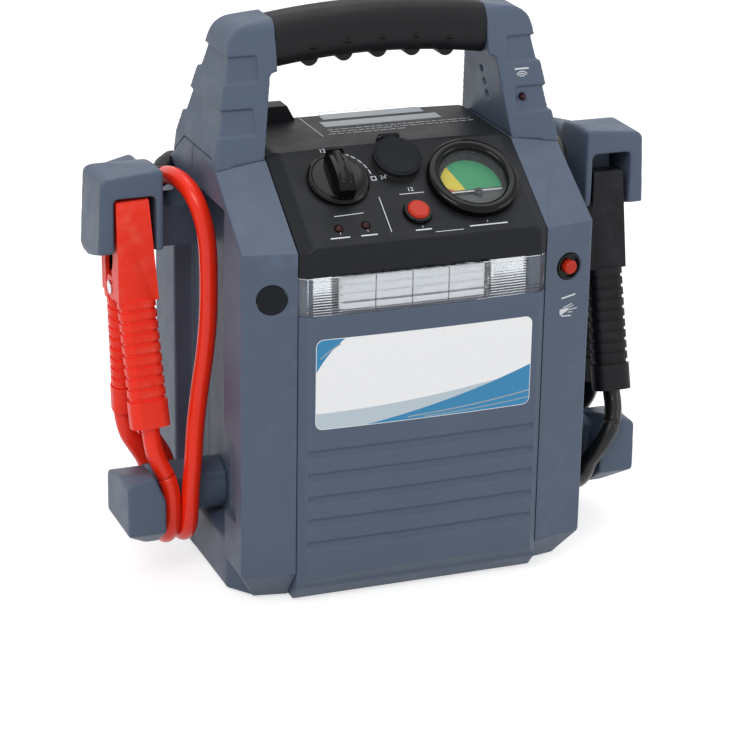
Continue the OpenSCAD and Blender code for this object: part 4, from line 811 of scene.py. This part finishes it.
def stack(name, layers, place, mat, body, replaces):
    """A closed form through flat rings of points: each layer is (height, outline)."""
    bm = bmesh.new()
    rings = [[bm.verts.new((place @ Vector((x, y, h))) * MM) for x, y in outline] for h, outline in layers]
    count = len(rings[0])
    for a, b in zip(rings, rings[1:]):
        for k in range(count):
            bm.faces.new((a[k], a[(k + 1) % count], b[(k + 1) % count], b[k]))
    bm.faces.new(list(reversed(rings[0])))
    bm.faces.new(rings[-1])
    me = mesh_of(bm, name, facing=True)
    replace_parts(add_piece(name, me, body, mat, 40), replaces)


def make_knob():
    """The selector: a thin skirt with a rounded bar across it, wider at its lower end."""
    face = slope_frame(*KNOB, FACE_W)
    skirt = [(0.01, 1.5), (17.4, 1.5), (17.5, 3.3), (16.9, 4.1), (15.5, 4.4), (0.01, 4.4)]
    lathe("knob_skirt", skirt, face, M["gloss"], "selector")

    def outline(inset):
        points = []
        for middle, r, start in ((11.2, 4.0 - inset, 0), (-9.4, 5.6 - inset, 180)):
            for k in range(13):
                a = math.radians(start + 180 * k / 12)
                points.append((r * math.cos(a), middle + r * math.sin(a)))
        return points

    insets = ((4.3, 0), (11.0, 0.5), (13.2, 0.9), (14.5, 1.7), (15.1, 3.0))
    layers = [(h, outline(inset)) for h, inset in insets]
    stack("knob_bar", layers, face, M["gloss"], "selector", "selector_knob")
    solid("knob_mark", [box(0, 16.3, 2.6, 1.8)], face, 4.35, 4.75, M["white"], "selector")


control_marks()
meter_face()
meter_ring()
make_knob()


# ------------------------------------------------------------------ work light

def make_lens():
    """The clear lens: flutes along it from end to end, with four plain windows over the lamps."""
    half, wall = PANEL_HW - 0.6, 2.2
    pitch, flute = 1.75, 0.55
    xs = [round(-half + 2 * k * half / 136, 3) for k in range(137)]
    zs = [LENS_Z0 + (LENS_Z1 - LENS_Z0) * k / 112 for k in range(113)]

    def face_y(x):
        edge = abs(x) - (PANEL_HW - 5.6)
        return front_y(x) if edge < 0 else front_y(PANEL_HW - 5.6) + edge * PROUD / 5.0

    def outer(x, z):
        plain = -58.5 < x < 41.5
        depth = flute * (0.3 if plain else 1.0)
        ripple = depth * abs(math.sin(math.pi * (z - LENS_Z0) / pitch))
        band = 0.4 * abs(math.sin(math.pi * x / 3.1)) if 41.5 < x < half - 6 else 0.0
        return face_y(x) + depth + 0.1 - ripple + band

    def inner(x):
        return min(face_y(x) + wall, -HALF_D + 2.0)

    bm = bmesh.new()
    front = [[bm.verts.new((x * MM, outer(x, z) * MM, z * MM)) for z in zs] for x in xs]
    back = [[bm.verts.new((x * MM, inner(x) * MM, z * MM)) for z in zs] for x in xs]
    for grid in (front, back):
        for a, b in zip(grid, grid[1:]):
            for k in range(len(zs) - 1):
                bm.faces.new((a[k], b[k], b[k + 1], a[k + 1]))
    for k in (0, len(zs) - 1):
        for i in range(len(xs) - 1):
            bm.faces.new((front[i][k], front[i + 1][k], back[i + 1][k], back[i][k]))
    for i in (0, len(xs) - 1):
        for k in range(len(zs) - 1):
            bm.faces.new((front[i][k], front[i][k + 1], back[i][k + 1], back[i][k]))
    me = mesh_of(bm, "fluted_lens", facing=True)
    lens = add_piece("fluted_lens", me, "housing", M["clear"], 35)
    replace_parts(lens, "work_light_lens")


def make_painted_glare_sheets():
    """Four pale sheets behind the lens, painted brightness standing in for the light the silvered reflector
    throws back, each of four pillowed rows, with narrow gaps between them.
    """
    first, pitch, width, rows = -58.5, 25.0, 24.2, 4
    height = (LENS_Z1 - LENS_Z0 - 2.4) / rows
    bm = bmesh.new()
    across, up = 12, 6

    def sheet(x0, z0, w, h, bulge, back):
        grid = []
        for i in range(across + 1):
            column = []
            for k in range(up + 1):
                s, t = i / across, k / up
                x, z = x0 + w * s, z0 + h * t
                lift = bulge * (1 - (2 * s - 1) ** 6) * (1 - (2 * t - 1) ** 4)
                column.append(bm.verts.new((x * MM, (front_y(x) + back - lift) * MM, z * MM)))
            grid.append(column)
        behind = [[bm.verts.new((v.co.x, (front_y(v.co.x / MM) + back + 1.0) * MM, v.co.z)) for v in column]
                  for column in grid]
        for i in range(across):
            for k in range(up):
                bm.faces.new((grid[i][k], grid[i + 1][k], grid[i + 1][k + 1], grid[i][k + 1]))
                bm.faces.new((behind[i][k], behind[i][k + 1], behind[i + 1][k + 1], behind[i + 1][k]))
            for k in (0, up):
                bm.faces.new((grid[i][k], grid[i + 1][k], behind[i + 1][k], behind[i][k]))
        for i in (0, across):
            for k in range(up):
                bm.faces.new((grid[i][k], grid[i][k + 1], behind[i][k + 1], behind[i][k]))

    for cell in range(4):
        for row in range(rows):
            sheet(first + cell * pitch, LENS_Z0 + 1.3 + row * height, width, height - 0.5, 0.9, 4.4)
    # the sheets are painted brightness, standing in for the reflector's reflected light
    me = mesh_of(bm, "painted_glare_sheets", facing=True)
    add_piece("painted_glare_sheets", me, "housing", M["reflector_glare_white"], 40)


make_lens()
make_painted_glare_sheets()


# ------------------------------------------------------------------ label and small prints

def panel_piece(name, outline, low, high, mat):
    """A printed shape on the front panel, cut along the panel's flats so that it follows the bow."""
    face = PANEL_HW - 5.6
    bm = bmesh.new()
    verts = [bm.verts.new((x, 0, z)) for x, z in outline]
    bm.faces.new(verts)
    for k in range(-4, 5):
        everything = bm.verts[:] + bm.edges[:] + bm.faces[:]
        bmesh.ops.bisect_plane(bm, geom=everything, plane_co=(face * k / 5, 0, 0), plane_no=(1, 0, 0))
    made = bmesh.ops.extrude_face_region(bm, geom=bm.faces[:])
    top = {v for v in made["geom"] if isinstance(v, bmesh.types.BMVert)}
    for v in bm.verts:
        x, z = v.co.x, v.co.z
        v.co = Vector((x, front_y(x) - (high if v in top else low), z)) * MM
    me = mesh_of(bm, name, facing=True)
    return add_piece(name, me, "housing", mat, 20)


def rounded(x0, x1, z0, z1, r, steps=6):
    points = []
    corners = ((x1 - r, z1 - r, 0), (x0 + r, z1 - r, 90), (x0 + r, z0 + r, 180), (x1 - r, z0 + r, 270))
    for cx, cz, start in corners:
        for k in range(steps + 1):
            a = math.radians(start + 90 * k / steps)
            points.append((cx + r * math.cos(a), cz + r * math.sin(a)))
    return points


LABEL = (-74.8, 74.8, 125.0, 186.4)


def within(points, edge):
    """A flat outline cut to the inside of a convex one, which runs counter-clockwise."""
    for (ax, ay), (bx, by) in zip(edge, edge[1:] + edge[:1]):
        def inside(p):
            return (bx - ax) * (p[1] - ay) - (by - ay) * (p[0] - ax)

        out = []
        for p, q in zip(points, points[1:] + points[:1]):
            d0, d1 = inside(p), inside(q)
            if d0 >= 0:
                out.append(p)
            if d0 * d1 < 0:
                t = d0 / (d0 - d1)
                out.append((p[0] + (q[0] - p[0]) * t, p[1] + (q[1] - p[1]) * t))
        points = out
    return points


def make_label():
    """The front label: white, with a blue corner, a blue wedge with two thin lines and a pale sweep."""
    x0, x1, z0, z1 = LABEL
    wide, high = x1 - x0, z1 - z0

    def curve(a, b, c, steps=12):
        """A bend from a to c that leans to b, each in shares of the label from its top left."""
        points = []
        for k in range(steps + 1):
            t = k / steps
            u, v = ((1 - t) ** 2 * a[i] + 2 * t * (1 - t) * b[i] + t * t * c[i] for i in (0, 1))
            points.append((x0 + u * wide, z1 - v * high))
        return points

    def stripe(a, b, c, thick):
        line = curve(a, b, c)
        return line + [(x, z - thick) for x, z in reversed(line)]

    edge = rounded(x0 + 0.4, x1 - 0.4, z0 + 0.4, z1 - 0.4, 4.6)
    panel_piece("label", rounded(x0, x1, z0, z1, 5), -0.3, 0.1, M["sticker"])
    wedge = curve((0.21, 1.0), (0.62, 0.86), (1.0, 0.54))
    sweep = curve((0, 0.82), (0.42, 0.81), (0.84, 0.66)) + wedge[8::-1] + [(x0, z0)]
    shapes = [
        ("label_sweep", sweep, "sweep", 0.13),
        ("label_corner", [(x0, z1)] + curve((0.134, 0), (0.06, 0.12), (0, 0.37)), "blue", 0.15),
        ("label_corner_line", stripe((0.02, 0.2), (0.06, 0.12), (0.11, 0.05), 1.1), "stripe_grey", 0.18),
        ("label_wedge", wedge + [(x1, z0)], "blue", 0.15),
        ("label_wedge_line", stripe((0.42, 0.955), (0.75, 0.92), (1.0, 0.83), 0.9), "stripe_grey", 0.18),
        ("label_wedge_line_2", stripe((0.50, 0.975), (0.78, 0.96), (1.0, 0.91), 0.7), "stripe_grey", 0.18),
    ]
    for name, points, mat, top in shapes:
        panel_piece(name, within(points, edge), 0.0, top, M[mat])


def small_prints():
    """Plain bars on the deck, the light's sign under its button and the sounder's sign on the post."""
    deck = frame_at((0, 0, 292.0), (1, 0, 0), (0, 1, 0), (0, 0, 1))
    solid("deck_bars", [box(12, 30, 72, 12), box(12.5, 12.5, 83, 12)], deck, -0.05, PRINT, M["pale"])
    lines = [bar(-38, 38, -38, -14, 0.5)]
    draw = random.Random(7)
    for y, x0, x1 in ((-0.5, -30, 70), (-5.5, -30, 72), (-10.5, -33, 20), (41.5, -28, 30)):
        x = x0
        while x < x1:
            dash = draw.uniform(2.0, 7.5)
            lines.append(bar(x, y, min(x + dash, x1 + 1), y, 0.6))
            x += dash + 1.2
    solid("deck_lines", lines, deck, -0.05, PRINT, M["white"])
    strip = strip_frame(103.5, 190)
    head = [(-6.1, -4.6), (0.3, -4.0), (0.9, -5.4), (-0.6, -6.6), (-3.4, -7.4), (-4.2, -8.6), (-6.1, -8.2)]
    rays = [bar(-3.5, -3.7, 3.4, -1.6, 0.6), bar(0.3, -4.3, 4.9, -2.9, 0.6), bar(1.0, -5.7, 7.6, -5.2, 0.6),
            bar(0.5, -7.2, 4.2, -7.6, 0.5), bar(-4.6, -9.2, 3.0, -9.9, 0.8)]
    solid("light_sign", rays + [head, bar(-5.0, 3.0, 5.9, 4.6, 1.1)], strip, -0.05, PRINT, M["white"])
    at, normal = struck("right_post", 96, 326)
    across = Vector((1, 0, 0))
    post = frame_at(at, across, normal.cross(across).normalized(), normal)
    arcs = [ring_part(0, -1.5, r, r + 0.6, 30, 150, 10) for r in (1.2, 2.6, 4.0)]
    solid("sounder_sign", arcs + [bar(-5, 4.6, 5, 4.6, 1.1)], post, -0.1, PRINT, M["white"])


def struck(node, x, z):
    """Where a level line from the front meets a node, in mm, and which way the face looks."""
    bm = bmesh.new()
    bm.from_mesh(NODES[node].data)
    tree = BVHTree.FromBMesh(bm)
    bm.free()
    at, normal, _, _ = tree.ray_cast(Vector((x * MM, -0.5, z * MM)), Vector((0, 1, 0)))
    return at / MM, Vector((0, normal.y, normal.z)).normalized()


def grip_studs():
    """A row of low studs over the finger bumps, on the front of the grip."""
    bm = bmesh.new()
    for k in range(-2, 3):
        x = k * BUMP_PITCH
        at, normal = struck("handle_grip", x, 357.2 - 0.0015 * x * x)
        made = bmesh.ops.create_uvsphere(bm, u_segments=20, v_segments=12, radius=MM)
        turn = Vector((0, 0, 1)).rotation_difference(normal).to_matrix().to_4x4()
        place = Matrix.Translation(at * MM) @ turn @ Matrix.Diagonal((3.0, 1.7, 0.8, 1))
        bmesh.ops.transform(bm, matrix=place, verts=made["verts"])
    me = mesh_of(bm, "grip_studs")
    add_piece("grip_studs", me, "housing", M["ring"], 40)


make_label()
small_prints()
grip_studs()


# ------------------------------------------------------------------ lead boots

def make_boots():
    """Ribbed rubber boots that carry each lead out of its gland."""
    path = fine(START, 1.0)
    length, ribs = 34, 8
    for side, name, mat in ((-1, "left", "red_lead"), (1, "right", "black_lead")):
        points = [Vector((side * p.x, p.y, p.z)) for p in path[:length]]

        def radius(k):
            t = k / (length - 1)
            taper = 8.2 - 1.9 * t
            return taper - (0.55 if (k % (length // ribs)) >= 2 and 2 < k < length - 2 else 0)

        boot = add_piece(name + "_boot", tube(name + "_boot", points, radius, 32), "housing", M["black"], 50)


make_boots()


# ------------------------------------------------------------------ light and floor

def lamp(name, at, aim, size, power, colour=(1, 1, 1)):
    data = bpy.data.lights.new(name, "AREA")
    data.shape = "RECTANGLE"
    data.size, data.size_y = size
    data.energy = power
    data.color = colour
    obj = bpy.data.objects.new(name, data)
    scene.collection.objects.link(obj)
    obj.location = at
    obj.rotation_euler = (Vector(aim) - Vector(at)).to_track_quat("-Z", "Y").to_euler()


def seen_white(tree, seen, plain, out):
    """Camera, glossy and transmission rays get one shader, light on the object comes from the other."""
    path = tree.nodes.new("ShaderNodeLightPath")
    total = path.outputs["Is Camera Ray"]
    for extra in ("Is Glossy Ray", "Is Transmission Ray"):
        add = tree.nodes.new("ShaderNodeMath")
        add.operation = "MAXIMUM"
        tree.links.new(total, add.inputs[0])
        tree.links.new(path.outputs[extra], add.inputs[1])
        total = add.outputs[0]
    mix = tree.nodes.new("ShaderNodeMixShader")
    tree.links.new(total, mix.inputs[0])
    tree.links.new(plain, mix.inputs[1])
    tree.links.new(seen, mix.inputs[2])
    tree.links.new(mix.outputs[0], out)


def make_world():
    world = bpy.data.worlds.new("studio")
    scene.world = world
    world.use_nodes = True
    tree = world.node_tree
    tree.nodes.clear()
    out = tree.nodes.new("ShaderNodeOutputWorld")
    seen = tree.nodes.new("ShaderNodeBackground")
    seen.inputs[0].default_value = (1, 1, 1, 1)
    plain = tree.nodes.new("ShaderNodeBackground")
    plain.inputs[0].default_value = (0.95, 0.97, 1.0, 1)
    plain.inputs[1].default_value = 0.5
    seen_white(tree, seen.outputs[0], plain.outputs[0], out.inputs[0])
    lamp("key", (-1.3, -1.6, 2.0), (0, 0, 0.2), (1.4, 1.0), 24)
    lamp("top", (0.2, 0.3, 2.2), (0, 0, 0.2), (1.6, 1.6), 15)
    lamp("fill", (1.8, -1.2, 0.9), (0, 0, 0.2), (1.0, 1.2), 8)


def make_floor():
    bm = bmesh.new()
    bmesh.ops.create_grid(bm, x_segments=1, y_segments=1, size=12)
    me = mesh_of(bm, "floor")
    obj = bpy.data.objects.new("floor", me)
    scene.collection.objects.link(obj)
    obj.location.z = -0.0002
    mat = bpy.data.materials.new("floor")
    mat.use_nodes = True
    tree = mat.node_tree
    tree.nodes.clear()
    out = tree.nodes.new("ShaderNodeOutputMaterial")
    diffuse = tree.nodes.new("ShaderNodeBsdfDiffuse")
    diffuse.inputs[0].default_value = (0.62, 0.62, 0.62, 1)
    glow = tree.nodes.new("ShaderNodeEmission")
    glow.inputs[1].default_value = 0.68
    both = tree.nodes.new("ShaderNodeAddShader")
    tree.links.new(diffuse.outputs[0], both.inputs[0])
    tree.links.new(glow.outputs[0], both.inputs[1])
    plain = tree.nodes.new("ShaderNodeBsdfDiffuse")
    plain.inputs[0].default_value = (0.7, 0.7, 0.7, 1)
    seen_white(tree, both.outputs[0], plain.outputs[0], out.inputs[0])
    obj.data.materials.append(mat)


make_world()
make_floor()
scene.view_settings.view_transform = "Standard"
